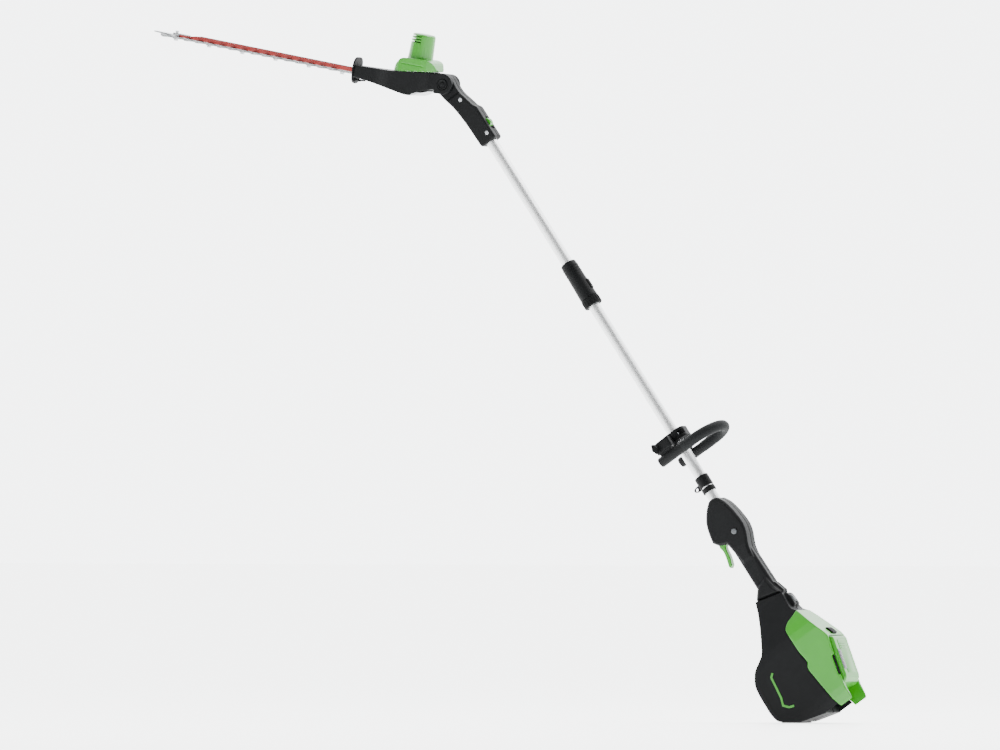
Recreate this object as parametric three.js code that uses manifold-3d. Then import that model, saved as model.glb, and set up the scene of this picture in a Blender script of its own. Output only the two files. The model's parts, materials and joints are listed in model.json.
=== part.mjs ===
// A battery pole hedge trimmer: a double-edged cutting bar on a tilting gear head, a two-piece
// pole, a front loop handle, a strap collar, and a rear handle with the battery housing.
// Millimetres, +Z up. The tool leans as it does in its stand, the cutting bar points to -X,
// the operator's left side is -Y, and the origin is the middle of the rear grip.
import * as THREE from "three";
import { mergeVertices } from "three/addons/utils/BufferGeometryUtils.js";
import Module from "manifold-3d";

const wasm = await Module();
wasm.setup();

// ------------------------------------------------------------------ driving dimensions
const LEAN = 34.3; // degrees between the pole and the upright
const HEAD_TILT = 45; // degrees that the head is bent from the pole's line, at rest
const FIT = 0.3; // gap between pieces that touch
const RUN = 0.4; // gap between pieces that move on each other

const UPPER_REACH = 535; // pivot to the coupler's upper end, along the pole
const LOWER_REACH = 561; // coupler's lower end to the rear handle's nose
const TUBE_R = 14; // pole's outer radius
const TUBE_WALL = 1.8;
const LEAD_R = 3.6; // power lead inside the pole
const PLUG_R = 8; // plug and socket that part with the poles

const BLADE_LENGTH = 543; // hand guard to the nose
const BLADE_HALF = 35; // half the width over the teeth
const BLADE_THICK = 2.5;
const TOOTH_PITCH = 30;
const BAR_THICK = 5;
const BAR_HALF = 15;
const BAR_BOLTS = 6;
const BOLT_R = 3;
const STROKE = 15; // travel of each blade
const YOKE_PLAY = 2; // yoke's extra room along the stroke

const GEAR_MODULE = 1.5;
const GEAR_TEETH = 40;
const PINION_TEETH = 10;
const MOTOR_R = 24.6; // stator's outer radius
const SHAFT_R = 3;
const LOWER_BEARING_R = 11;
const UPPER_BEARING_R = 8;
const FAN_BLADES = 7;
const MOTOR_SLOTS = 6;
const MOTOR_X = -79; // motor axis, from the pivot, along the head
const CASE_HALF = 43; // half the gear case's width
const CASE_WALL = 4;

const PIVOT_DROP = 20; // pivot's distance below the pole axis
const EAR_R = 25;
const EAR_THICK = 9.6;
const TONGUE_HALF = 17.3; // half the arm's width between the ears
const ARM_WALL = 7; // arm's width beside the pole
const ARM_END = 182;
const HUB_R = 21.6; // notched disc that the tilt lock holds

const COUPLER_LENGTH = 122;
const COLLAR_LENGTH = 20; // twist collar at the coupler's lower end
const INSERT = 82; // how deep the lower pole sits in the coupler

const LOOP_HALF = 60; // pole axis to the loop's bar axis
const LOOP_R = 12.2; // loop's bar radius
const LOOP_RISE = 54; // pole axis to the centre of the loop's round end
const LOOP_BACK = 136; // rear handle's nose to the loop's plane
const CLAMP_LENGTH = 27;
const CLAMP_BOLT_R = 2.5;
const CLAMP_KNOB_R = 3; // the knob's screw

const STRAP_BACK = 65; // rear handle's nose to the strap collar's upper end
const STRAP_WALL = 3.3;

const POD_HALF = 28;
const GRIP_HALF = 19;
const GRIP_TOP = 17; // pole axis to the top of the grip
const GRIP_AT = 190; // nose to the middle of the grip
const GRIP_DROP = 2; // grip axis below the pole axis
const TRIGGER_HALF = 9;
const SHELL = 3; // moulded wall
const HOUSING_HALF = 50;
const BOSS_TOP = 38; // pole axis to the top of the power button's boss
const POWER_BUTTON_R = 8;
const POWER_BUTTON_X = 308;
const PACK_LENGTH = 122;
const PACK_HALF = 42;
const PACK_HEIGHT = 78;
const PACK_TILT = 13.5; // degrees that the pack falls towards the rear
const FOOT_LENGTH = 52;

// ------------------------------------------------------------------ derived places
const ARM_HALF = TUBE_R + ARM_WALL;
const COUPLER_END = UPPER_REACH + COUPLER_LENGTH;
const NOSE = COUPLER_END + LOWER_REACH; // rear handle's nose, from the pivot, along the pole
const POLES_MEET = COUPLER_END - INSERT;
const LOOP_AT = NOSE - LOOP_BACK;
const STRAP_AT = NOSE - STRAP_BACK;
const STRAP_R = TUBE_R + FIT + STRAP_WALL;
const CENTRE_DISTANCE = (GEAR_MODULE * (GEAR_TEETH + PINION_TEETH)) / 2 + 0.15;
const CRANK_X = MOTOR_X - CENTRE_DISTANCE;
const ECCENTRIC = STROKE / 2;
const AXLE_R = 4;
const CAM_R = ECCENTRIC + AXLE_R + RUN + 2.2;

const BLADE_MID_Z = -17; // plane between the two blades
const UPPER_Z = [BLADE_MID_Z + FIT / 2, BLADE_MID_Z + FIT / 2 + BLADE_THICK];
const LOWER_Z = [BLADE_MID_Z - FIT / 2 - BLADE_THICK, BLADE_MID_Z - FIT / 2];
const BAR_Z = [UPPER_Z[1] + FIT, UPPER_Z[1] + FIT + BAR_THICK];
const GUARD_X = -241; // hand guard's front face
const GUARD_THICK = 4;
const TIP_X = GUARD_X - BLADE_LENGTH;
const BAR_END_X = TIP_X + 73; // where the painted bar stops and the bare nose goes on
const NECK_X = GUARD_X + GUARD_THICK + FIT;

// ------------------------------------------------------------------ materials
const finish = (color, roughness, metalness = 0) =>
  new THREE.MeshStandardMaterial({ color, roughness, metalness });
const BLACK = finish(0x2b2c2e, 0.55);
const RUBBER = finish(0x1d1e20, 0.85);
const GREEN = finish(0x7cc04a, 0.45);
const RED = finish(0xa03a34, 0.5);
const STEEL = finish(0xb4b6b8, 0.3, 1);
const TUBE = finish(0xd4d6d8, 0.35, 1);
const ALLOY = finish(0xb9bbbd, 0.45, 1);
const COPPER = finish(0xb06a3a, 0.4, 1);
const GREY = finish(0x8d9093, 0.5);
const BOARD = finish(0x2f5d3a, 0.6);
const CABLE = finish(0x1a1a1a, 0.7);

// ------------------------------------------------------------------ solids
const X = new THREE.Vector3(1, 0, 0);
const Y = new THREE.Vector3(0, 1, 0);
const Z = new THREE.Vector3(0, 0, 1);

// A closed three.js geometry as a manifold solid.
function solid(geometry) {
  const source = geometry.index ? geometry.toNonIndexed() : geometry;
  const bare = new THREE.BufferGeometry();
  bare.setAttribute("position", source.getAttribute("position"));
  const merged = mergeVertices(bare, 1e-4);
  const index = merged.index.array;
  const triVerts = [];
  for (let i = 0; i < index.length; i += 3) {
    const [a, b, c] = [index[i], index[i + 1], index[i + 2]];
    if (a !== b && b !== c && c !== a) triVerts.push(a, b, c);
  }
  const vertProperties = merged.attributes.position.array;
  return new wasm.Manifold(
    new wasm.Mesh({ numProp: 3, vertProperties, triVerts: new Uint32Array(triVerts) }),
  );
}

// A named mesh of a manifold solid, put into a group.
function add(group, name, body, material) {
  const { vertProperties, triVerts } = body.getMesh();
  const geometry = new THREE.BufferGeometry();
  geometry.setAttribute("position", new THREE.Float32BufferAttribute(vertProperties, 3));
  geometry.setIndex(new THREE.BufferAttribute(new Uint32Array(triVerts), 1));
  geometry.computeVertexNormals();
  const mesh = new THREE.Mesh(geometry, material);
  mesh.name = name;
  group.add(mesh);
  return mesh;
}

const join = (...bodies) => bodies.reduce((a, b) => a.add(b));
const cut = (body, ...tools) => tools.reduce((a, b) => a.subtract(b), body);

function box(x0, x1, y0, y1, z0, z1) {
  const g = new THREE.BoxGeometry(x1 - x0, y1 - y0, z1 - z0);
  return solid(g.translate((x0 + x1) / 2, (y0 + y1) / 2, (z0 + z1) / 2));
}

// A closed shape through points [x, y, corner radius].
function outline(points) {
  const shape = new THREE.Shape();
  const count = points.length;
  points.forEach(([x, y, r = 0], i) => {
    const [ax, ay] = points[(i + count - 1) % count];
    const [bx, by] = points[(i + 1) % count];
    const back = Math.hypot(ax - x, ay - y);
    const on = Math.hypot(bx - x, by - y);
    const cutBack = Math.min(r, back * 0.49, on * 0.49);
    const from = [x + ((ax - x) * cutBack) / back, y + ((ay - y) * cutBack) / back];
    const to = [x + ((bx - x) * cutBack) / on, y + ((by - y) * cutBack) / on];
    if (i === 0) shape.moveTo(...from);
    else shape.lineTo(...from);
    if (cutBack > 0) shape.quadraticCurveTo(x, y, ...to);
  });
  shape.closePath();
  return shape;
}

// The points of a counter-clockwise outline, with every edge moved inwards by d.
function shrink(points, d) {
  const edge = (i) => {
    const [ax, ay] = points[(i + points.length) % points.length];
    const [bx, by] = points[(i + 1) % points.length];
    const length = Math.hypot(bx - ax, by - ay);
    const [ux, uy] = [(bx - ax) / length, (by - ay) / length];
    return { x: ax - uy * d, y: ay + ux * d, ux, uy };
  };
  return points.map(([, , r = 0], i) => {
    const a = edge(i - 1);
    const b = edge(i);
    const t = ((b.x - a.x) * b.uy - (b.y - a.y) * b.ux) / (a.ux * b.uy - a.uy * b.ux);
    return [a.x + a.ux * t, a.y + a.uy * t, Math.max(r - d, 0)];
  });
}

function roundHole(x, y, r) {
  return new THREE.Path().absarc(x, y, r, 0, Math.PI * 2, true);
}

// A slot of half width r whose centre line runs from x0 to x1.
function slotHole(x0, x1, y, r) {
  const path = new THREE.Path();
  path.absarc(x1, y, r, -Math.PI / 2, Math.PI / 2, false);
  path.absarc(x0, y, r, Math.PI / 2, (Math.PI * 3) / 2, false);
  return path;
}

// Extrudes a shape between two planes; u and v are where the shape's x and y point.
function prism(shape, from, to, u, v, { bevel = 0, curve = 2 } = {}) {
  const normal = new THREE.Vector3().crossVectors(u, v);
  const g = new THREE.ExtrudeGeometry(shape, {
    depth: to - from - 2 * bevel,
    curveSegments: curve,
    bevelEnabled: bevel > 0,
    bevelThickness: bevel,
    bevelSize: bevel,
    bevelOffset: -bevel,
    bevelSegments: 1,
  });
  g.translate(0, 0, from + bevel);
  return solid(g.applyMatrix4(new THREE.Matrix4().makeBasis(u, v, normal)));
}
// side view outline (x, z), from y0 to y1
const side = (shape, y0, y1, more) => prism(shape, -y1, -y0, X, Z, more);
// plan view outline (x, y), from z0 to z1
const plan = (shape, z0, z1, more) => prism(shape, z0, z1, X, Y, more);
// cross-section outline (y, z), from x0 to x1
const cross = (shape, x0, x1, more) => prism(shape, x0, x1, Y, Z, more);

// A turned solid along an axis, through points [along, radius], starting and ending on the axis.
function turned(axis, points, segments = 32) {
  const g = new THREE.LatheGeometry(
    points.map(([along, r]) => new THREE.Vector2(r, along)),
    segments,
  );
  if (axis === X) g.rotateZ(-Math.PI / 2);
  if (axis === Z) g.rotateX(Math.PI / 2);
  return solid(g);
}
const rod = (axis, r, from, to, segments) =>
  turned(axis, [[from, 0], [from, r], [to, r], [to, 0]], segments);

// ------------------------------------------------------------------ groups
const trimmer = new THREE.Group();
const line = new THREE.Group(); // the pole's line, leaning; local x runs down the pole, z to its top side
line.rotation.y = THREE.MathUtils.degToRad(90 - LEAN);
trimmer.add(line);
const pole = new THREE.Group(); // origin at the foot of the pivot on the pole axis
pole.position.set(-(NOSE + GRIP_AT), 0, GRIP_DROP);
line.add(pole);
const head = new THREE.Group(); // origin at the pivot; the cutting bar points to local -x
head.position.set(0, 0, -PIVOT_DROP);
head.rotation.y = THREE.MathUtils.degToRad(-HEAD_TILT);
pole.add(head);
const rear = new THREE.Group(); // origin at the rear handle's nose
rear.position.x = NOSE;
pole.add(rear);

// ------------------------------------------------------------------ cutting bar
function boltX(i) {
  const first = TIP_X + 60;
  const last = GUARD_X - 35;
  return first + ((last - first) * i) / (BAR_BOLTS - 1);
}

// One blade: a strip with teeth on both edges, slots for the bolts and a yoke for its eccentric.
function bladeShape() {
  const root = 12.5;
  const front = TIP_X + 20;
  const back = GUARD_X - 8;
  const teeth = Math.floor((back - front - 14) / TOOTH_PITCH);
  const tipHalf = 4.2;
  const rootHalf = 8.6;
  const yoke = { x: CAM_R + YOKE_PLAY + 6, y: CAM_R + ECCENTRIC + 1 + 6 };
  const upperEdge = [];
  for (let i = teeth - 1; i >= 0; i--) {
    const mid = front + 12 + rootHalf + i * TOOTH_PITCH;
    upperEdge.push([mid + rootHalf, root], [mid + tipHalf, BLADE_HALF]);
    upperEdge.push([mid - tipHalf, BLADE_HALF], [mid - rootHalf, root]);
  }
  const half = [
    [CRANK_X + yoke.x, yoke.y, 9],
    [CRANK_X - yoke.x, yoke.y, 9],
    [CRANK_X - yoke.x, root - 1.5, 3],
    [NECK_X - 2, root - 1.5],
    ...upperEdge,
    [front, root - 2, 8],
  ];
  const mirrored = half.map(([x, y, r = 0]) => [x, -y, r]).reverse();
  const shape = outline([...half, ...mirrored]);
  for (let i = 0; i < BAR_BOLTS; i++) {
    const x = boltX(i);
    shape.holes.push(slotHole(x - ECCENTRIC - 0.6, x + ECCENTRIC + 0.6, 0, BOLT_R + RUN));
  }
  const window = outline([
    [CRANK_X - CAM_R - YOKE_PLAY, -CAM_R - ECCENTRIC - 1, 8],
    [CRANK_X - CAM_R - YOKE_PLAY, CAM_R + ECCENTRIC + 1, 8],
    [CRANK_X + CAM_R + YOKE_PLAY, CAM_R + ECCENTRIC + 1, 8],
    [CRANK_X + CAM_R + YOKE_PLAY, -CAM_R - ECCENTRIC - 1, 8],
  ]);
  shape.holes.push(window);
  return shape;
}

function cuttingBar() {
  const blade = bladeShape();
  add(head, "upper_blade", plan(blade, ...UPPER_Z), STEEL);
  add(head, "lower_blade", plan(blade, ...LOWER_Z), STEEL);

  const barBack = NECK_X + 70;
  const bar = outline([
    [BAR_END_X, -BAR_HALF, 3],
    [barBack, -BAR_HALF, 2],
    [barBack, BAR_HALF, 2],
    [BAR_END_X, BAR_HALF, 3],
  ]);
  const heel = 22; // how far the nose laps over the bar
  for (let i = 1; i < BAR_BOLTS; i++) bar.holes.push(roundHole(boltX(i), 0, BOLT_R + FIT));
  const barBody = plan(bar, ...BAR_Z, { curve: 4 });
  add(head, "support_bar", barBody, RED);

  const nose = outline([
    [TIP_X, -9, 9],
    [BAR_END_X - FIT, -26, 16],
    [BAR_END_X - FIT, 26, 16],
    [TIP_X, 9, 9],
  ]);
  const lap = outline([
    [BAR_END_X - 20, -10, 3],
    [BAR_END_X + heel, -10, 6],
    [BAR_END_X + heel, 10, 6],
    [BAR_END_X - 20, 10, 3],
  ]);
  const noseBody = join(
    plan(nose, BAR_Z[0], BAR_Z[0] + 3),
    plan(lap, BAR_Z[0] + 1, BAR_Z[1] + FIT + 2),
  );
  const underLap = box(BAR_END_X - FIT, BAR_END_X + heel + 1, -30, 30, BAR_Z[0] - 1, BAR_Z[1] + FIT);
  const firstBolt = rod(Z, BOLT_R + FIT, -40, 0, 12).translate([boltX(0), 0, 0]);
  add(head, "nose_guard", cut(noseBody, underLap, firstBolt), STEEL);

  for (let i = 0; i < BAR_BOLTS; i++) {
    const seat = i === 0 ? BAR_Z[1] + FIT + 2 : BAR_Z[1];
    const top = seat + FIT;
    const bottom = LOWER_Z[0] - RUN;
    const headHeight = i === 0 ? 5 : 2.6;
    const bolt = turned(Z, [
      [bottom - 5.6, 0], [bottom - 5.6, 5], [bottom - 1.2, 5], [bottom - 1.2, 7], [bottom, 7],
      [bottom, BOLT_R], [top, BOLT_R], [top, 5.2], [top + headHeight, 4.4], [top + headHeight, 0],
    ], 10);
    add(head, `bar_bolt_${i + 1}`, bolt.translate([boltX(i), 0, 0]), STEEL);
  }

  // The hand guard: a domed plate round the bar with a lip under the gear case's neck.
  const plate = outline([
    [-16, 23, 9], [-26, 12, 12], [-27.5, -12, 14], [-20, -36, 12], [-8, -41.5, 6],
    [8, -41.5, 6], [20, -36, 12], [27.5, -12, 14], [26, 12, 12], [16, 23, 9],
  ]);
  const passage = [-(BAR_HALF + 1.5), BAR_HALF + 1.5, LOWER_Z[0] - 1.5, BAR_Z[1] + 1.5];
  const guard = join(
    cross(plate, GUARD_X, GUARD_X + GUARD_THICK),
    box(GUARD_X + 1, GUARD_X + 22, -17, 17, -33, -30),
    box(GUARD_X + 1, GUARD_X + 10, -17, 17, -36, -30),
  );
  add(head, "hand_guard", cut(guard, box(GUARD_X - 1, GUARD_X + 9, ...passage)), BLACK);
}

// ------------------------------------------------------------------ gear head
function gearShape(teeth, toothShare, bore) {
  const pitchR = (GEAR_MODULE * teeth) / 2;
  const outer = pitchR + 0.85 * GEAR_MODULE;
  const inner = pitchR - 1.2 * GEAR_MODULE;
  const step = (Math.PI * 2) / teeth;
  const flank = Math.tan((20 * Math.PI) / 180) * GEAR_MODULE;
  const halfPitch = (toothShare * Math.PI * GEAR_MODULE) / 2;
  const shape = new THREE.Shape();
  for (let i = 0; i < teeth; i++) {
    const mid = i * step;
    const corners = [
      [inner, (halfPitch + flank) / inner],
      [outer, (halfPitch - 0.85 * flank) / outer],
    ];
    const [low, high] = corners;
    const at = ([r, half], turn) => [r * Math.cos(mid + turn * half), r * Math.sin(mid + turn * half)];
    if (i === 0) shape.moveTo(...at(low, -1));
    else shape.lineTo(...at(low, -1));
    shape.lineTo(...at(high, -1));
    shape.lineTo(...at(high, 1));
    shape.lineTo(...at(low, 1));
  }
  shape.closePath();
  if (bore) shape.holes.push(roundHole(0, 0, bore));
  return shape;
}

// the line of the joint between gear case and motor cover, which rises towards the pivot
const seatZ = (x) => 9 + (x + 132) * 0.151;
const CAVITY_TOP = 5.2;
const COVER_TOP = -29;

function casePlan(inset) {
  const w = CASE_HALF - inset;
  const neck = 24 - inset;
  const points = [
    [NECK_X, -neck], [-178, -neck, 20], [-150, -w + 6, 16], [-128, -w, 14], [-56, -w, 20],
    [-34 - inset, -(TONGUE_HALF + EAR_THICK) + inset, 10],
    [-34 - inset, TONGUE_HALF + EAR_THICK - inset, 10],
    [-56, w, 20], [-128, w, 14], [-150, w - 6, 16], [-178, neck, 20], [NECK_X, neck],
  ];
  return outline(points);
}

function gearHead() {
  const earY = TONGUE_HALF + RUN;
  const profile = outline([
    [NECK_X, 3.4, 3], [-132, seatZ(-132) - FIT], [-24, seatZ(-24) - FIT, 3], [-22, 10, 6], [-22, -17, 4],
    [-34, -23, 6], [-55, -32.5, 8], [-70, -40, 10], [-86, -42, 10], [-143, -34, 12], [NECK_X, -24.5, 3],
  ]);
  const body = side(profile, -CASE_HALF, CASE_HALF).intersect(plan(casePlan(0), -60, 60));
  const ears = [-1, 1].map((way) => {
    const inner = way * earY;
    const outer = way * (earY + EAR_THICK);
    const disc = rod(Y, EAR_R, Math.min(inner, outer), Math.max(inner, outer), 28);
    const web = outline([[-48, 21, 4], [-4, EAR_R - 0.4, 4], [-4, -EAR_R + 1, 4], [-48, -27, 4]]);
    return join(disc, side(web, Math.min(inner, outer), Math.max(inner, outer)));
  });
  // room for the drive, the blade tails and the arm's tongue
  const cavity = plan(casePlan(CASE_WALL), COVER_TOP + FIT, CAVITY_TOP)
    .intersect(box(-156, -44, -60, 60, -60, 60));
  const tailRoom = box(NECK_X - 1, -140, -BAR_HALF - 1, BAR_HALF + 1, LOWER_Z[0] - 1, BAR_Z[1] + FIT);
  const tongueRoom = rod(Y, EAR_R + 2.5, -earY, earY, 28);
  const coverRoom = plan(casePlan(CASE_WALL - 1.5), -60, COVER_TOP + FIT)
    .intersect(box(-154, -20, -60, 60, -60, 60));
  const skirtCut = side(outline([[-72, -60], [-20, -60], [-20, -16], [-34, -20], [-72, -37]]), -60, 60);
  const motorBore = rod(Z, LOWER_BEARING_R + FIT, CAVITY_TOP - 1, 30, 24).translate([MOTOR_X, 0, 0]);
  const axleBore = rod(Z, AXLE_R + FIT, 0, 8.4, 16).translate([CRANK_X, 0, 0]);
  const boltBore = rod(Y, 4 + FIT, -60, 60, 16);
  const capRecess = rod(Y, 13 + FIT, -60, -(earY + EAR_THICK - 4), 16);
  const nutRecess = rod(Y, 9 + FIT, earY + EAR_THICK - 5, 60, 16);
  const gearCase = cut(
    join(body, ...ears),
    cavity, tailRoom, tongueRoom, coverRoom, skirtCut, motorBore, axleBore, boltBore, capRecess,
      nutRecess,
  );
  add(head, "gear_case", gearCase, BLACK);

  const coverProfile = outline([
    [-152, COVER_TOP], [-47, COVER_TOP], [-40, COVER_TOP + 3], [-34.5, -21.5], [-36, -25, 5],
    [-56, -35, 8], [-70, -41, 10], [-86, -42, 10], [-143, -34.3, 12], [-152, -33],
  ]);
  const cover = side(coverProfile, -60, 60)
    .intersect(plan(casePlan(CASE_WALL - 1.5 + FIT), -60, 60))
    .intersect(box(-152, -34.2, -60, 60, -60, 60));
  const axleSeat = rod(Z, AXLE_R + FIT, -36, -20, 16).translate([CRANK_X, 0, 0]);
  add(head, "gear_cover", cut(cover, axleSeat, tongueRoom), ALLOY);

  // the drive: axle, gear with its two eccentrics
  add(head, "gear_axle", rod(Z, AXLE_R, -35.7, 8.1, 16).translate([CRANK_X, 0, 0]), STEEL);
  const gear = plan(gearShape(GEAR_TEETH, 0.42, AXLE_R + RUN), -2.5, 4);
  const hub = rod(Z, CAM_R + YOKE_PLAY - ECCENTRIC - RUN, UPPER_Z[1] - 0.1, -2, 20);
  const upperCam = rod(Z, CAM_R, UPPER_Z[0] + 0.05, UPPER_Z[1] - 0.05, 28).translate([0, ECCENTRIC, 0]);
  const lowerCam = rod(Z, CAM_R, ...LOWER_Z, 28).translate([0, -ECCENTRIC, 0]);
  const neckDisc = rod(Z, AXLE_R + RUN + 1.6, LOWER_Z[1] - 0.2, UPPER_Z[0] + 0.2, 20);
  const axleHole = rod(Z, AXLE_R + RUN, -60, 30, 20);
  const crank = cut(join(gear, hub, upperCam, lowerCam, neckDisc), axleHole);
  add(head, "drive_gear", crank.translate([CRANK_X, 0, 0]), STEEL);

  // the motor: rotor shaft with pinion, magnet core and fan; stator; two bearings
  const coreR = MOTOR_R - 11.2; // rotor's magnet core
  const fanR = MOTOR_R - 3.1;
  const toothTurn = 180 / PINION_TEETH;
  const pinion = plan(gearShape(PINION_TEETH, 0.42), -3.5, 4.9).rotate([0, 0, toothTurn]);
  const shaft = turned(Z, [
    [-6, 0], [-6, SHAFT_R], [30, SHAFT_R], [30, SHAFT_R + 2], [38, SHAFT_R + 2], [38, coreR], [72, coreR],
    [72, SHAFT_R + 2], [80, SHAFT_R + 2], [80, SHAFT_R], [99, SHAFT_R], [99, 0],
  ], 16);
  add(head, "motor_rotor", join(pinion, shaft).translate([MOTOR_X, 0, 0]), STEEL);
  const fanBlades = [];
  for (let i = 0; i < FAN_BLADES; i++) {
    fanBlades.push(box(4, fanR - 0.5, -0.8, 0.8, 82, 90).rotate([0, 0, (i * 360) / FAN_BLADES]));
  }
  const fan = cut(
    join(rod(Z, fanR, 80.4, 82.4, 28), rod(Z, 6, 80.4, 90, 20), ...fanBlades),
    rod(Z, SHAFT_R + FIT, 70, 95, 20),
  );
  add(head, "cooling_fan", fan.translate([MOTOR_X, 0, 0]), BLACK);

  const slots = [];
  for (let i = 0; i < MOTOR_SLOTS; i++) {
    slots.push(box(9, MOTOR_R - 5.6, -3, 3, 30, 90).rotate([0, 0, (i * 360) / MOTOR_SLOTS]));
  }
  const stator = cut(rod(Z, MOTOR_R, 37, 73, 28), rod(Z, coreR + RUN, 30, 90, 28), ...slots);
  add(head, "motor_stator", stator.translate([MOTOR_X, 0, 0]), ALLOY);
  const windings = cut(rod(Z, MOTOR_R - 2.6, 73 + FIT, 78.6, 24), rod(Z, MOTOR_R - 9.6, 60, 90, 20));
  add(head, "motor_windings", windings.translate([MOTOR_X, 0, 0]), COPPER);
  const bearing = (z0, z1, outer) =>
    cut(rod(Z, outer, z0, z1, 24), rod(Z, SHAFT_R + FIT, z0 - 1, z1 + 1, 14)).translate([MOTOR_X, 0, 0]);
  add(head, "lower_motor_bearing", bearing(6.4, 13.4, LOWER_BEARING_R), STEEL);
  add(head, "upper_motor_bearing", bearing(93, 98, UPPER_BEARING_R), STEEL);

  // the green motor cover: flange, barrel, vent slots
  const left = MOTOR_X - 53;
  const right = MOTOR_X + 58;
  const flangePlan = (inset) => outline([
    [left + inset, -30 + inset, 16], [left + 16, -42 + inset, 20], [right - 22, -42 + inset, 22],
    [right - inset, -24 + inset, 16], [right - inset, 24 - inset, 16], [right - 22, 42 - inset, 22],
    [left + 16, 42 - inset, 20], [left + inset, 30 - inset, 16],
  ]);
  const flangeSide = outline([
    [left, seatZ(left)], [left + 3, 24, 8], [left + 19, 44, 8], [left + 30, 46.5, 4], [right - 26, 50, 6],
    [right - 11, 45, 6], [right, 27, 6], [right, seatZ(right)],
  ]);
  const barrel = turned(Z, [
    [40, 0], [40, MOTOR_R + 7.4], [54, MOTOR_R + 5.6], [104, MOTOR_R + 3.4], [107.5, MOTOR_R + 0.4],
    [108.5, MOTOR_R - 6.6], [108.5, 0],
  ], 28).translate([MOTOR_X, 0, 0]);
  const flange = plan(flangePlan(0), -20, 60).intersect(side(flangeSide, -60, 60));
  const flangeInside = outline([
    [left, -10], [left + 3, 14], [left + 6, 22, 4], [left + 21.6, 41.2, 4], [left + 31, 43.3],
    [right - 27, 46.7], [right - 13.4, 42.6, 4], [right - 3.4, 25.6, 4], [right, 14], [right, -10],
  ]);
  const flangeRoom = plan(flangePlan(SHELL), -20, 60).intersect(
    side(flangeInside, -60, 60),
  );
  const barrelRoom = rod(Z, MOTOR_R + FIT, 0, 91.4, 28).translate([MOTOR_X, 0, 0]);
  const bearingSeat = rod(Z, UPPER_BEARING_R + FIT, 80, 98.3, 24).translate([MOTOR_X, 0, 0]);
  const shaftRoom = rod(Z, SHAFT_R + RUN, 90, 100.5, 20).translate([MOTOR_X, 0, 0]);
  const fanVent = box(MOTOR_X - 35, MOTOR_X + 6, -40, 40, 86.6, 89.2);
  const ventCore = rod(Z, MOTOR_R - 4.6, 90, 110, 20).translate([MOTOR_X, 0, 0]);
  const topVents = [93.6, 100.6].map((z) => box(MOTOR_X - 35, MOTOR_X + 6, -40, 40, z,
    z + 2.6).subtract(ventCore));
  const flangeSlots = [-1, 1].map((way) =>
    box(left + 24, left + 82, way > 0 ? 40.6 : -43, way > 0 ? 43 : -40.6, 31.5, 34));
  add(head, "motor_cover",
    cut(
      join(flange, barrel),
      flangeRoom, barrelRoom, bearingSeat, shaftRoom, fanVent, ...topVents, ...flangeSlots,
    ),
    GREEN,
  );

  // the pivot's fixed parts, which turn with the head
  const notches = [];
  for (let i = 0; i < 8; i++) {
    notches.push(box(17.6, 24, -6, 6, -3.4, 3.4).rotate([0, 45 + HEAD_TILT - 90 + i * 22.5, 0]));
  }
  const hubBody = cut(
    join(rod(Y, HUB_R, -3, 3, 28), rod(Y, 9, -TONGUE_HALF, TONGUE_HALF, 20)),
    boltBore, ...notches,
  );
  add(head, "index_hub", hubBody, STEEL);
  const boltHead = -(earY + EAR_THICK);
  const pivotBolt = turned(Y, [
    [boltHead - 1.5, 0], [boltHead - 1.5, 4], [boltHead + 0.6, 5], [boltHead + 0.6, 9],
    [boltHead - 1.5, 10.5],
    [boltHead - 1.5, 12], [boltHead, 13], [boltHead + 3.7, 13], [boltHead + 3.7, 4],
    [earY + EAR_THICK - 0.6, 4], [earY + EAR_THICK - 0.6, 0],
  ], 16);
  add(head, "pivot_bolt", pivotBolt, BLACK);
  const nut = cut(rod(Y, 9, earY + EAR_THICK - 4.7, earY + EAR_THICK + 1, 6), boltBore);
  add(head, "pivot_nut", nut, STEEL);
}

// ------------------------------------------------------------------ tilt arm
const ARM_SCREW_R = 2;
const ARM_SCREWS = [[56, -5], [161, 8]]; // along the pole, height from the pole axis

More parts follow.
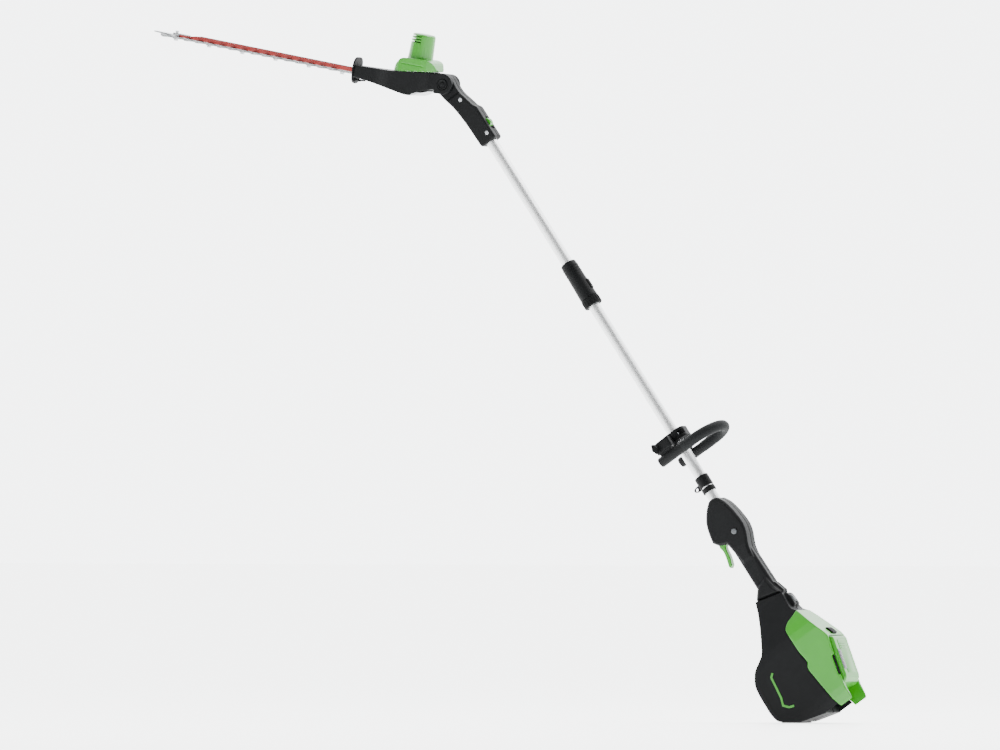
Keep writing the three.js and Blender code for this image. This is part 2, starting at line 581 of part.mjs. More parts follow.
function tiltArm() {
  const drop = -PIVOT_DROP;
  const reach = EAR_R - 0.6;
  const backLine = [
    [60, 9, 16], [84, TUBE_R + 1, 6], [91, TUBE_R + 7.5, 6], [ARM_END, TUBE_R + 8, 6],
    [ARM_END, -TUBE_R - 8.5, 6], [106, -TUBE_R - 11, 20],
  ];
  const throat = outline([
    [-0.1, drop + reach], [8, drop + reach - 1, 6], [34, 1, 12], ...backLine,
    [58, -31, 20], [32, -39.5, 20], [-0.1, drop - reach],
  ]);
  const tongue = rod(Y, reach, -TONGUE_HALF, TONGUE_HALF, 28).translate([0, 0, drop]);
  const narrow = side(throat, -TONGUE_HALF, TONGUE_HALF);
  const wrist = outline([[38, 1.6], ...backLine, [58, -31, 20], [38, -37]]);
  const wide = side(wrist, -ARM_HALF, ARM_HALF, { bevel: 3 });
  const socket = rod(X, TUBE_R + FIT, ARM_END - 70, ARM_END + 1, 28);
  const bore = rod(Y, 9 + RUN, -60, 60, 20).translate([0, 0, drop]);
  const discRoom = rod(Y, HUB_R + RUN, -3 - RUN, 3 + RUN, 28).translate([0, 0, drop]);
  const buttonBase = TUBE_R + 4.6;
  const pawlRoom = side(outline([
    [14, drop - 3.6], [72, drop - 3.6], [108, TUBE_R - 3], [108, TUBE_R + 1], [146, TUBE_R + 1],
    [146, TUBE_R + 4.9], [89.4, TUBE_R + 4.9], [84.8, TUBE_R - 2.8], [56, drop + 3.8], [14, drop + 3.8],
  ]), -3.4, 3.4);
  const buttonRoom = box(122.2, 156, -8.5, 8.5, buttonBase - 0.1, 40);
  const screwSeat = ARM_HALF - 4.6;
  const screwRooms = ARM_SCREWS.flatMap(([x, z]) => [
    rod(Y, 5.2, -60, -screwSeat + RUN, 12).translate([x, 0, z]),
    rod(Y, ARM_SCREW_R + FIT, -60, screwSeat - RUN, 12).translate([x, 0, z]),
  ]);
  const leadRoom = rod(X, LEAD_R + FIT, 96, 120, 12);
  const whole = cut(
    join(tongue, narrow, wide), socket, bore, discRoom, pawlRoom, buttonRoom, ...screwRooms, leadRoom,
  );
  add(pole, "arm_left", whole.intersect(box(-60, 300, -60, -FIT / 2, -90, 90)), BLACK);
  add(pole, "arm_right", whole.intersect(box(-60, 300, FIT / 2, 60, -90, 90)), BLACK);
  ARM_SCREWS.forEach(([x, z], i) => {
    const screw = turned(Y, [
      [-screwSeat - 2.8, 0], [-screwSeat - 2.8, 4.8], [-screwSeat, 4.8], [-screwSeat, ARM_SCREW_R],
      [screwSeat - 0.8, ARM_SCREW_R], [screwSeat - 0.8, 0],
    ], 12);
    add(pole, `arm_screw_${i + 1}`, screw.translate([x, 0, z]), STEEL);
  });

  // the lock: a pawl that drops into the hub's notches, drawn back by the release button
  const pawl = side(outline([
    [HUB_R + RUN, drop - 2.8], [62, drop - 2.8], [99, TUBE_R - 1], [99, TUBE_R + 1.5],
    [132, TUBE_R + 1.5],
    [132, TUBE_R + 4.2], [95.5, TUBE_R + 4.2], [92, TUBE_R - 2], [60, drop + 2.8],
    [HUB_R + RUN, drop + 2.8],
  ]), -2.9, 2.9);
  add(pole, "lock_pawl", pawl, STEEL);
  const buttonShape = outline([
    [126.2, buttonBase], [126.2, buttonBase + 2.9], [132, buttonBase + 9, 4], [144, buttonBase + 9, 4],
    [148, buttonBase + 1.4], [148, buttonBase],
  ]);
  add(pole, "release_button", side(buttonShape, -8, 8, { bevel: 1 }), GREEN);
}

// ------------------------------------------------------------------ poles and coupler
function tube(from, to) {
  return cut(rod(X, TUBE_R, from, to, 32), rod(X, TUBE_R - TUBE_WALL, from - 1, to + 1, 32));
}

function poles() {
  const inPod = 58; // how deep the lower pole sits in the rear handle
  const [screwAt, screwHeight] = ARM_SCREWS[1]; // the screw that pins the pole in the arm
  const screwHole = rod(Y, ARM_SCREW_R + FIT, -TUBE_R - 6, TUBE_R + 6, 12).translate([screwAt, 0,
    screwHeight]);
  add(pole, "upper_pole", cut(tube(ARM_END - 69, POLES_MEET - FIT), screwHole), TUBE);
  add(pole, "lower_pole", tube(POLES_MEET, NOSE + inPod), TUBE);

  // the coupler: a tapered sleeve fixed to the upper pole, and a twist collar that grips the lower one
  const start = UPPER_REACH;
  const collarAt = COUPLER_END - COLLAR_LENGTH;
  const inner = TUBE_R + FIT;
  const sleeve = turned(X, [
    [start, inner], [start, TUBE_R + 4], [start + 3, TUBE_R + 5.4], [start + 34, TUBE_R + 6.2],
    [collarAt - 4, TUBE_R + 8], [collarAt - 0.4, TUBE_R + 7.4], [collarAt - 0.4, TUBE_R + 3.4],
    [COUPLER_END - 5, TUBE_R + 3], [COUPLER_END - 5, inner], [start, inner],
  ], 32);
  const pad = box(start + 58, start + 84, -6.5, 6.5, TUBE_R + 4, TUBE_R + 9.2);
  const padRoom = rod(X, inner, start, COUPLER_END, 32);
  add(pole, "coupler_sleeve", cut(join(sleeve, pad), padRoom), BLACK);
  const collar = turned(X, [
    [collarAt, TUBE_R + 3.8], [collarAt, TUBE_R + 8.4], [collarAt + 2, TUBE_R + 9],
    [COUPLER_END - 2, TUBE_R + 9],
    [COUPLER_END, TUBE_R + 7.6], [COUPLER_END, inner + RUN], [COUPLER_END - 4, inner + RUN],
    [COUPLER_END - 4, TUBE_R + 3.8], [collarAt, TUBE_R + 3.8],
  ], 24);
  const grooves = [];
  for (let i = 0; i < 9; i++) {
    const groove = box(collarAt + 3, COUPLER_END + 1, -1.2, 1.2, TUBE_R + 7.8, TUBE_R + 12);
    grooves.push(groove.rotate([i * 40 + 20, 0, 0]));
  }
  add(pole, "twist_collar", cut(collar, ...grooves), BLACK);

  // the power lead, which parts at the coupler with the poles
  const plugAt = POLES_MEET - 22;
  const socketEnd = POLES_MEET + 20;
  const upperLead = turned(X, [
    [98, 0], [98, LEAD_R], [plugAt, LEAD_R], [plugAt, PLUG_R], [POLES_MEET - 2, PLUG_R],
    [POLES_MEET - 2, 0],
  ], 16);
  add(pole, "upper_power_lead", upperLead, CABLE);
  const lowerLead = turned(X, [
    [POLES_MEET + 0.5, 0], [POLES_MEET + 0.5, PLUG_R], [socketEnd, PLUG_R], [socketEnd, LEAD_R],
    [NOSE + inPod + 3, LEAD_R], [NOSE + inPod + 3, 0],
  ], 16);
  add(pole, "lower_power_lead", lowerLead, CABLE);
}

// ------------------------------------------------------------------ front loop handle
class LoopPath extends THREE.Curve {
  constructor(legs) {
    super();
    this.legs = legs;
    this.arc = Math.PI * LOOP_HALF;
    this.total = this.arc + 2 * legs;
  }
  // from the left leg's foot over the round end to the right leg's foot
  getPoint(t, target = new THREE.Vector3()) {
    const s = t * this.total;
    if (s < this.legs) return target.set(LOOP_AT, -LOOP_HALF, LOOP_RISE - this.legs + s);
    if (s > this.legs + this.arc) {
      return target.set(LOOP_AT, LOOP_HALF, LOOP_RISE - (s - this.legs - this.arc));
    }
    const a = Math.PI - (s - this.legs) / LOOP_HALF;
    return target.set(LOOP_AT, LOOP_HALF * Math.cos(a), LOOP_RISE + LOOP_HALF * Math.sin(a));
  }
}

function frontHandle() {
  const legs = 101;
  const section = new THREE.Shape().absarc(0, 0, LOOP_R, 0, Math.PI * 2, false);
  const bar = solid(new THREE.ExtrudeGeometry(section, {
    steps: 22, extrudePath: new LoopPath(legs), curveSegments: 6, bevelEnabled: false,
  }));
  const clampAt = LOOP_AT - 56;
  const wingAt = LOOP_AT - 44;
  const foot = LOOP_RISE - legs;
  const boltY = TUBE_R + 5;
  const boltSeat = 14; // underside of the bolt heads
  const clampHalf = TUBE_R + 11;
  const bridge = outline([
    [-70, 6, 5], [-71, -20, 8], [-64, foot + 3, 10], [-46, foot + 6, 10], [-24, -27, 14],
    [0, -TUBE_R - 9, 10], [24, -27, 14], [46, foot + 6, 10],
    [64, foot + 3, 10], [71, -20, 8], [70, 6, 5], [50, 6, 6], [44, -12, 8],
    [clampHalf + 1, -2, 6], [clampHalf - 1, -FIT / 2], [1 - clampHalf, -FIT / 2], [-clampHalf - 1, -2, 6],
    [-44, -12, 8], [-50, 6, 6],
  ]);
  const lugs = [-59.5, 59.5].map((y) => box(wingAt + 12, LOOP_AT - 4, y - 7.5, y + 7.5, foot + 12, -2));
  const centre = box(clampAt, wingAt + 20, 1 - clampHalf, clampHalf - 1, -TUBE_R - 9, -FIT / 2);
  const poleRoom = rod(X, TUBE_R + FIT, clampAt - 10, LOOP_AT + 60, 32);
  const knobBore = rod(Y, CLAMP_KNOB_R + FIT, -90, -38, 12).translate([wingAt + 13, 0, foot + 13]);
  const boltBores = [-1, 1].map((way) => rod(Z, CLAMP_BOLT_R + FIT, -60, 60,
    12).translate([clampAt + 13, way * boltY, 0]));
  const bridgeBody = cross(bridge, wingAt, wingAt + 26);
  const loop = cut(join(bar, bridgeBody, ...lugs, centre), poleRoom, knobBore, ...boltBores);
  add(pole, "loop_handle", loop, BLACK);

  const capShape = outline([
    [-clampHalf, FIT / 2], [clampHalf, FIT / 2], [clampHalf, TUBE_R + 6, 6], [TUBE_R + 3, TUBE_R + 18, 8],
    [-TUBE_R - 3, TUBE_R + 18, 8], [-clampHalf, TUBE_R + 6, 6],
  ]);
  const cap = cross(capShape, clampAt, clampAt + CLAMP_LENGTH, { bevel: 1.5 });
  const seats = [-boltY, boltY].map((y) => box(clampAt + 7.6, clampAt + 18.4, y - 5.4, y + 5.4,
    boltSeat, 60));
  add(pole, "clamp_cap", cut(cap, poleRoom, ...boltBores, ...seats), BLACK);
  [-1, 1].forEach((way, i) => {
    const bolt = turned(Z, [
      [-22, 0], [-22, CLAMP_BOLT_R], [boltSeat + FIT, CLAMP_BOLT_R], [boltSeat + FIT, 4.6],
      [boltSeat + 4.4, 4.6], [boltSeat + 4.4, 0],
    ], 12);
    add(pole, `clamp_bolt_${i + 1}`, bolt.translate([clampAt + 13, way * boltY, 0]), STEEL);
  });

  const outer = -71 - FIT;
  const wings = outline([
    [-13, -3, 3], [-5, -5, 3], [5, -5, 3], [13, -3, 3], [13, 3, 3], [5, 5, 3], [-5, 5, 3], [-13, 3, 3],
  ]);
  const stem = turned(Y, [
    [outer - 12, 0], [outer - 12, 6], [outer - 10, 7.5], [outer - 0.5, 8], [outer, 7],
    [outer, CLAMP_KNOB_R],
    [-42, CLAMP_KNOB_R], [-42, 0],
  ], 20);
  const knob = join(stem, side(wings, outer - 11, outer - 3));
  add(pole, "clamp_knob", knob.translate([wingAt + 13, 0, foot + 13]), BLACK);
}

// ------------------------------------------------------------------ strap collar
function strapCollar() {
  const at = STRAP_AT;
  const inner = TUBE_R + FIT;
  const body = turned(X, [
    [at, inner], [at, STRAP_R - 1], [at + 1.5, STRAP_R], [at + 27, STRAP_R], [at + 28.5, STRAP_R - 1],
    [at + 28.5, inner], [at, inner],
  ], 28);
  const eyeShape = outline([
    [at + 14, -12, 2], [at + 14.5, -26, 5], [at + 18, -33.5, 5], [at + 25, -33.5, 5], [at + 28.4, -26, 5],
    [at + 28.4, -12, 2],
  ]);
  const eye = side(eyeShape, -3, 3);
  const eyeHole = rod(Y, 3.8, -10, 10, 20).translate([at + 21.4, 0, -26]);
  const tubeRoom = rod(X, inner, at - 1, at + 60, 28);
  add(pole, "strap_collar", cut(join(body, eye), tubeRoom, eyeHole), BLACK);
  const ring = turned(X, [
    [at + 31, inner], [at + 31, STRAP_R - 1.4], [at + 32, STRAP_R - 0.4], [at + 43, STRAP_R - 0.4],
    [at + 44, STRAP_R - 1.4], [at + 44, inner], [at + 31, inner],
  ], 28);
  add(pole, "stop_ring", ring, BLACK);
}

// ------------------------------------------------------------------ rear handle
const SEAM = [[268, -43], [287, 28]]; // joint line between handle and battery housing
const TRIGGER_PIN = [96, -37];
const TRIGGER_PIN_R = 2;
const LOCK_BUTTON = [98, 8];
const LOCK_BUTTON_R = 7;

function rearHandle() {
  const [px, pz] = TRIGGER_PIN;
  const [lockX, lockZ] = LOCK_BUTTON;
  const podShape = outline([
    [0, 2], [5, 15], [22, 26, 14], [54, 34, 20], [92, 37.5, 14], [114, 32.5, 14], [146, 17, 14],
    [176, 14],
    [176, -16], [124, -24], [112, -26], [104, -46], [90, -56], [70, -53, 14], [38, -44, 18],
    [14, -24], [2, -10],
  ]);
  const gripShape = outline([
    [110, GRIP_TOP], [262, 19.5], [...SEAM[1]], [...SEAM[0]], [253, -32], [243, -24.6], [110, -24.6],
  ]);
  const pod = side(podShape, -POD_HALF, POD_HALF, { bevel: 5 });
  const grip = side(gripShape, -GRIP_HALF, GRIP_HALF, { bevel: 5 });
  const flareShape = outline([
    [232, 12], [262, 17], [SEAM[1][0] - 3.5, 25], [SEAM[0][0] - 1, -40], [254, -30, 8], [240, -18],
  ]);
  const flare = side(flareShape, -27, 27, { bevel: 6 });
  const padShape = outline([
    [250, 16], [252, 22, 2], [SEAM[1][0] - 6, 31, 2], [SEAM[1][0] - 1.4, 27], [266, 10],
  ]);
  const pad = side(padShape, -12, 12);
  const poleRoom = rod(X, TUBE_R + FIT, -5, 61, 28);
  const inside = side(outline([
    [62, -20, 3], [62, 22, 6], [96, 28, 8], [134, GRIP_TOP - SHELL - 1, 10],
    [276, GRIP_TOP - SHELL - 1, 4],
    [266, -18, 4], [128, -18, 4], [110, -19, 4], [100, -24], [66, -26, 4],
  ]), -14, 14);
  const triggerRoom = box(84, 120, -TRIGGER_HALF - RUN, TRIGGER_HALF + RUN, -62, -24);
  const pinRoom = rod(Y, TRIGGER_PIN_R + FIT, -17, 17, 12).translate([px, 0, pz]);
  const lockRoom = rod(Y, LOCK_BUTTON_R + RUN, -40, -10, 20).translate([lockX, 0, lockZ]);
  const beyondSeam = outline([
    [...SEAM[0]], [...SEAM[1]], [SEAM[1][0] + 8, 60], [330, 60], [330, -60], [SEAM[0][0] - 5, -62],
  ]);
  const seamCut = side(beyondSeam, -60, 60);
  const ribs = [];
  for (let i = 0; i < 7; i++) {
    ribs.push(rod(Y, 1.1, -12, 12, 6).translate([146 + i * 9, 0, -25]));
  }
  const whole = cut(
    join(pod, grip, flare, pad),
    poleRoom, inside, triggerRoom, pinRoom, lockRoom, seamCut, ...ribs,
  );
  add(rear, "handle_left", whole.intersect(box(-20, 330, -60, -FIT / 2, -90, 90)), BLACK);
  add(rear, "handle_right", whole.intersect(box(-20, 330, FIT / 2, 60, -90, 90)), BLACK);

  const triggerShape = outline([
    [86, -27], [101, -27], [112, -40.5, 8], [134, -41.2, 16], [157, -49], [161.5, -56], [156, -58.5],
    [138, -53, 16], [118, -49.4, 10], [107, -52.5], [95, -50.5], [87, -42],
  ]);
  const trigger = cut(
    side(triggerShape, -TRIGGER_HALF, TRIGGER_HALF, { bevel: 1.2 }),
    rod(Y, TRIGGER_PIN_R + RUN, -30, 30, 16).translate([px, 0, pz]),
  );
  add(rear, "trigger", trigger, GREEN);
  add(rear, "trigger_pin", rod(Y, TRIGGER_PIN_R, -16.6, 16.6, 12).translate([px, 0, pz]), STEEL);
  add(rear, "trigger_switch", join(box(66, 82.5, -8, 8, -17, 6), box(70, 78, -3, 3, -21, -16)), BLACK);
  const lock = turned(Y, [
    [-POD_HALF - 3.5, 0], [-POD_HALF - 3.5, LOCK_BUTTON_R - 1.6], [-POD_HALF - 2.4, LOCK_BUTTON_R - 0.2],
    [-24, LOCK_BUTTON_R], [-24, 4], [-15, 4], [-15, 0],
  ], 20);
  add(rear, "lock_off_button", lock.translate([lockX, 0, lockZ]), GREY);
}

// ------------------------------------------------------------------ battery housing
function inPackFrame(body) {
  return body.rotate([0, PACK_TILT, 0]).translate([448, 0, 84.6]);
}

function batteryHousing() {
  const leanRad = THREE.MathUtils.degToRad(LEAN);
  const level = (d) => [d * Math.sin(leanRad),
    d * Math.cos(leanRad)]; // a level step of d in the side view
  const footStart = [543, -147];
  const footEnd = [footStart[0] + level(FOOT_LENGTH + 6)[0], footStart[1] + level(FOOT_LENGTH + 6)[1]];
  const seam = [[SEAM[0][0] + 0.6, SEAM[0][1]], [SEAM[1][0] + 0.6, SEAM[1][1]]];
  const outerPoints = [
    seam[0], [306, -55, 20], [352, -75, 20], [388, -92, 14], [400, -112, 12], [410, -130, 12],
      [438, -149, 12],
    [470, -152, 10], [520, -152.5, 10], [...footStart, 8], [...footEnd, 8], [598, -16, 12], [603, 12, 6],
    [603, 60], [352, 46], [345, 38], [336, 30, 4], [322, 28, 4], seam[1],
  ];
  const outer = outline(outerPoints);
  const planPoints = [
    [260, -27], [290, -28, 14], [350, -40, 24], [390, -HOUSING_HALF, 30], [575, -HOUSING_HALF, 26],
    [605, -40, 20],
    [605, 40, 20], [575, HOUSING_HALF, 26], [390, HOUSING_HALF, 30], [350, 40, 24], [290, 28, 14],
    [260, 27],
  ];
  const whole = side(outer, -60, 60).intersect(plan(outline(planPoints), -200, 200));
  const hollow = side(outline(shrink(outerPoints, SHELL)), -60, 60)
    .intersect(plan(outline(shrink(planPoints, SHELL)), -200, 200));

  // the line where the green top cover meets the black shells
  const coverEdge = [
    [346, 40], [352, 26], [358, 8], [366, -4, 4], [374, -8.5, 4], [440, -6, 6], [468, -1],
    [478, -8], [488, -9],
    [575, 3], [620, 14],
  ];
  const above = outline([...coverEdge, [640, 120], [300, 120]]);
  const lowerEdge = coverEdge.map(([x, z, r = 0]) => [x - 0.1, z - FIT, r]);
  const underCover = outline([...lowerEdge, [640, 200], [330, 200]]);
  const coverSide = [
    [346, 40], [362, 47, 10], [396, 60, 20], [434, 76, 8], [446, 78, 5], [452, 75, 4],
    [480, 68, 10], [520, 57, 10],
    [566, 47, 10], [600, 46, 10], [611, 36, 8], [614, 18], [640, 0], [640, -30], [340, -30],
  ].reverse();
  const coverHalf = HOUSING_HALF + 2;
  const coverPlan = [
    [330, -34], [350, -41, 24], [390, -coverHalf, 30], [580, -coverHalf, 26], [613, -41, 20],
    [613, 41, 20],
    [580, coverHalf, 26], [390, coverHalf, 30], [350, 41, 24], [330, 34],
  ];

  // the pack and its bay, in the pack's own tilted frame: x towards the rear, top face at z 0
  const packShape = outline([
    [0, 0, 8], [PACK_LENGTH - 14, 0, 8], [PACK_LENGTH, -16, 8], [PACK_LENGTH, -PACK_HEIGHT, 8],
    [0, -PACK_HEIGHT, 8],
  ]);
  const pack = side(packShape, -PACK_HALF, PACK_HALF, { bevel: 3 });
  const bayWith = (half, wall) => inPackFrame(join(
    box(-1 - wall, PACK_LENGTH + 90, -half, half, -PACK_HEIGHT - 0.6 - wall, 60),
    box(-22 - wall, 2, -26 - wall, 26 + wall, -PACK_HEIGHT + 10 - wall, -31 + wall),
  ));
  const bay = bayWith(PACK_HALF + 0.8, 0);
  const bayWalls = bayWith(HOUSING_HALF, SHELL);
  const fingerSlot = inPackFrame(box(46, 96, -60, -PACK_HALF + 2, -14, 30));

  const boardShelf = box(430, 530, -60, 60, -97, -92 - FIT).subtract(box(400, 560, -24, 24, -120, -60));
  const ductRoom = box(262, 402, -15, 15, -18, 12);
  const padRoom = rearFootPad(footStart, leanRad, FIT);
  const shellRoom = side(underCover, -60, 60);
  const bossShape = outline([
    [288.6, 20], [291, BOSS_TOP - 4.5, 3], [300, BOSS_TOP - 1, 3], [326, BOSS_TOP, 3], [331, 29, 3],
    [331, 20],
  ]);
  const bossTop = side(bossShape, -16, 16);
  const powerRoom = rod(Z, POWER_BUTTON_R + RUN, BOSS_TOP - 9.6, 60, 24).translate([POWER_BUTTON_X,
    0, 0]);
  const latchRoom = box(417.5, 438.5, -13.5, 13.5, 61.2, 90);
  const ventCuts = [];
  for (let i = 0; i < 6; i++) {
    const x = 306 + i * 9;
    ventCuts.push(box(x - 1.6, x + 1.6, -60, 60, -56 - i * 4.4 - 14, -56 - i * 4.4 + 6));
  }
  const ventZone = cut(side(outer, -22, 22), side(outer, -22, 22).translate([0, 0, 6]));
  const vents = ventCuts.map((v) => v.intersect(ventZone));
  const footBlock = rearFootPad(footStart, leanRad, FIT + SHELL);
  const keep = join(bayWalls, boardShelf, footBlock, box(288, 330, -20, 20, 14, 60));
  const shells = cut(
    join(whole.subtract(side(above, -70, 70)).subtract(shellRoom), bossTop),
    hollow.subtract(keep), bay, ductRoom, padRoom, powerRoom, ...vents,
  );
  add(rear, "housing_left", shells.intersect(box(200, 700, -60, -FIT / 2, -200, 90)), BLACK);
  add(rear, "housing_right", shells.intersect(box(200, 700, FIT / 2, 60, -200, 90)), BLACK);

  const coverOuter = side(outline(coverSide), -60, 60).intersect(plan(outline(coverPlan), -200, 200))
    .intersect(side(above, -70, 70));
  const coverRoom = side(outline(shrink(coverSide, SHELL)), -60, 60)
    .intersect(plan(outline(shrink(coverPlan, SHELL)), -200, 200));
  const latchWell = box(414.5, 441.5, -16.5, 16.5, 58, 90);
  const bossGap = box(280, 346, -30, 30, 0, 60);
  const cover = cut(
    coverOuter, coverRoom.subtract(join(bayWalls, latchWell)), bay, fingerSlot, latchRoom, bossGap,
  );
  add(rear, "top_cover", cover, GREEN);

  add(rear, "battery_pack", inPackFrame(pack), GREEN);
  const block = box(-20, -1.4, -25, 25, -PACK_HEIGHT + 11, -32);
  add(rear, "terminal_block", inPackFrame(block), BLACK);
  add(rear, "controller_board", box(410, 548, -31, 31, -92, -84), BOARD);
  const power = turned(Z, [
    [BOSS_TOP - 7, 0], [BOSS_TOP - 7, POWER_BUTTON_R], [BOSS_TOP + 0.6, POWER_BUTTON_R],
    [BOSS_TOP + 1.8, POWER_BUTTON_R - 1.4], [BOSS_TOP + 1.8, 0],
  ], 24);
  add(rear, "power_button", power.translate([POWER_BUTTON_X, 0, 0]), GREY);
  const latch = side(outline([[418, 65], [418, 73], [421, 75], [436, 80.5], [438, 79],
    [438, 65]]), -13, 13);
  add(rear, "pack_latch", latch, BLACK);
  add(rear, "foot_pad", rearFootPad(footStart, leanRad, 0), RUBBER);
}

// The rubber foot under the housing: a level pad let into the housing's end, in the side view's frame.
function rearFootPad(start, leanRad, clearance) {
  const along = [Math.sin(leanRad), Math.cos(leanRad)];
  const down = [Math.cos(leanRad), -Math.sin(leanRad)];
  const at = (s, d) => [start[0] + along[0] * s + down[0] * d, start[1] + along[1] * s + down[1] * d];
  const c = clearance;
  const shape = outline([at(4 - c, -4 - c), at(4 - c, 2), at(FOOT_LENGTH + c, 2),
    at(FOOT_LENGTH + c, -4 - c)]);
  return side(shape, -34 - c, 34 + c);
}

cuttingBar();
gearHead();
tiltArm();
poles();
frontHandle();
strapCollar();
rearHandle();
batteryHousing();

export default trimmer;
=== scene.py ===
import json
import math

import bpy
from mathutils import Matrix, Vector


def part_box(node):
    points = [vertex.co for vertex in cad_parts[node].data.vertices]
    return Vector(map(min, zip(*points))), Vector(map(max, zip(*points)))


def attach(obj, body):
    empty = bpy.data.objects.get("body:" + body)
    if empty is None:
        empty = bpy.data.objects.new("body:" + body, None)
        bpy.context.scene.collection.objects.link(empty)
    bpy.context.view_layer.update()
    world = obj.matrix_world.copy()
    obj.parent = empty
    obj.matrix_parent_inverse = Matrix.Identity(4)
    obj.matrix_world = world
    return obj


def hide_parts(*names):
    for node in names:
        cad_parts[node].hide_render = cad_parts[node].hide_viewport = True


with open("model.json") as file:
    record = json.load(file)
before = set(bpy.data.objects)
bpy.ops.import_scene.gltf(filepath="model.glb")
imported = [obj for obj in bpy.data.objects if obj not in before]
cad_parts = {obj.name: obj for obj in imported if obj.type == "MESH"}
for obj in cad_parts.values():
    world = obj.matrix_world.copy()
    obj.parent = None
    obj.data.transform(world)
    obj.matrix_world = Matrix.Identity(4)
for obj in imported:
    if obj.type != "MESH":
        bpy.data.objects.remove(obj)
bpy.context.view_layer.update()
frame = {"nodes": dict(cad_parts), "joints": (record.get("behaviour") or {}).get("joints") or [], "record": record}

# ---------------------------------------------------------------- room
# A level camera with a very long lens, as for a catalogue picture, over a pale glowing table in a white
# tent. A wide lamp stands up and left, a long one lies over the tool, a weak one fills.
VIEW_TURN = math.radians(24)
VIEW_DISTANCE = 60.0
VIEW_WIDTH = 2.4
aim = Vector((-0.668, 0, 0.455))
lens = bpy.data.cameras.new("camera")
lens.sensor_width = 36
lens.lens = lens.sensor_width * VIEW_DISTANCE / VIEW_WIDTH
lens.clip_end = 200
camera = bpy.data.objects.new("camera", lens)
camera.location = aim + Vector((math.sin(VIEW_TURN), -math.cos(VIEW_TURN), 0)) * VIEW_DISTANCE
camera.rotation_euler = (math.pi / 2, 0, VIEW_TURN)
bpy.context.collection.objects.link(camera)
bpy.context.scene.camera = camera


def linear(code):
    """A linear RGBA colour from an sRGB hex value."""
    shares = [int(code[i:i + 2], 16) / 255 for i in (1, 3, 5)]
    return [s / 12.92 if s <= 0.04045 else ((s + 0.055) / 1.055) ** 2.4 for s in shares] + [1]


def node(tree, kind, inputs=None, **settings):
    """Adds one shader node; an input takes a value or another node's output."""
    made = tree.nodes.new(kind)
    for key, value in settings.items():
        setattr(made, key, value)
    for key, value in (inputs or {}).items():
        if isinstance(value, bpy.types.NodeSocket):
            tree.links.new(value, made.inputs[key])
        else:
            made.inputs[key].default_value = value
    return made


def begin(name, **shader):
    """A new material with its surface shader; returns the material, its tree, the shader and the place."""
    made = bpy.data.materials.new(name)
    made.use_nodes = True
    tree = made.node_tree
    surface = tree.nodes["Principled BSDF"]
    for key, value in shader.items():
        surface.inputs[key.replace("_", " ")].default_value = value
    place = tree.nodes.new("ShaderNodeTexCoord").outputs["Object"]
    return made, tree, surface, place


# the table is opal acrylic lit from underneath, so it gives off an even white and shows faint shadows
opal, tree, surface, place = begin("opal_acrylic_lit_from_below", Roughness=0.5)
mottle = node(tree, "ShaderNodeTexNoise", {"Vector": place, "Scale": 1.4, "Detail": 3.0})
tone = node(tree, "ShaderNodeMix", {"Factor": mottle.outputs["Fac"], "A": linear("#f1f2f2"),
            "B": linear("#f7f7f6")}, data_type="RGBA")
for socket in ("Base Color", "Emission Color"):
    tree.links.new(tone.outputs["Result"], surface.inputs[socket])
surface.inputs["Emission Strength"].default_value = 2.4
floor_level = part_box("foot_pad")[0].z
FLOOR_HALF = 45.0
sheet = bpy.data.meshes.new("floor")
corners = ((-1, -1), (1, -1), (1, 1), (-1, 1))
sheet.from_pydata([(x * FLOOR_HALF, y * FLOOR_HALF, floor_level) for x, y in corners], [], [(0, 1, 2, 3)])
sheet.materials.append(opal)
floor = bpy.data.objects.new("floor", sheet)
bpy.context.collection.objects.link(floor)

# the room is a white tent, lit hard behind the tool and left dim towards the camera
world = bpy.data.worlds.new("white_tent")
world.use_nodes = True
tent = world.node_tree
heading = tent.nodes.new("ShaderNodeTexCoord").outputs["Generated"]
ahead = node(tent, "ShaderNodeVectorMath", {0: heading, 1: (-math.sin(VIEW_TURN), math.cos(VIEW_TURN), 0.35)},
             operation="DOT_PRODUCT")
glow = node(tent, "ShaderNodeMapRange", {"Value": ahead.outputs["Value"], "From Min": -0.1, "From Max": 0.75,
            "To Min": 0.22, "To Max": 6.0}, interpolation_type="SMOOTHSTEP")
tent.nodes["Background"].inputs["Color"].default_value = linear("#f6f8f9")
tent.links.new(glow.outputs["Result"], tent.nodes["Background"].inputs["Strength"])
bpy.context.scene.world = world

for name, at, size, power in (
    ("key_lamp", Vector((-2.6, -3.6, 3.0)), (2.4, 1.8), 40),
    ("top_lamp", Vector((1.2, 0.9, 4.2)), (3.6, 1.4), 170),
    ("fill_lamp", Vector((3.2, -2.6, 1.2)), (1.6, 2.2), 10),
):
    light = bpy.data.lights.new(name, "AREA")
    light.shape = "RECTANGLE"
    light.size, light.size_y = size
    light.energy = power
    lamp = bpy.data.objects.new(name, light)
    lamp.location = at
    lamp.rotation_euler = (aim - at).to_track_quat("-Z", "Y").to_euler()
    bpy.context.collection.objects.link(lamp)

# ---------------------------------------------------------------- pole tubes
# Two drawn aluminium tubes, 28 mm across, cut square and lightly chamfered, then etched and anodised:
# a satin metal with fine lines along the draw, a little cloudy from the etch, and no mirror highlight.
joint = {j["name"]: j for j in frame["joints"]}
body_of = {n: b for b, members in frame["record"]["behaviour"]["bodies"].items() for n in members}
side_axis = Vector((0, 1, 0))
down_pole = Vector(joint["pole_joint"]["axis"]).normalized()
over_pole = down_pole.cross(side_axis)
pivot = Vector(joint["head_tilt"]["pos_m"])
PIVOT_DROP = 0.020
pole_start = pivot + over_pole * PIVOT_DROP


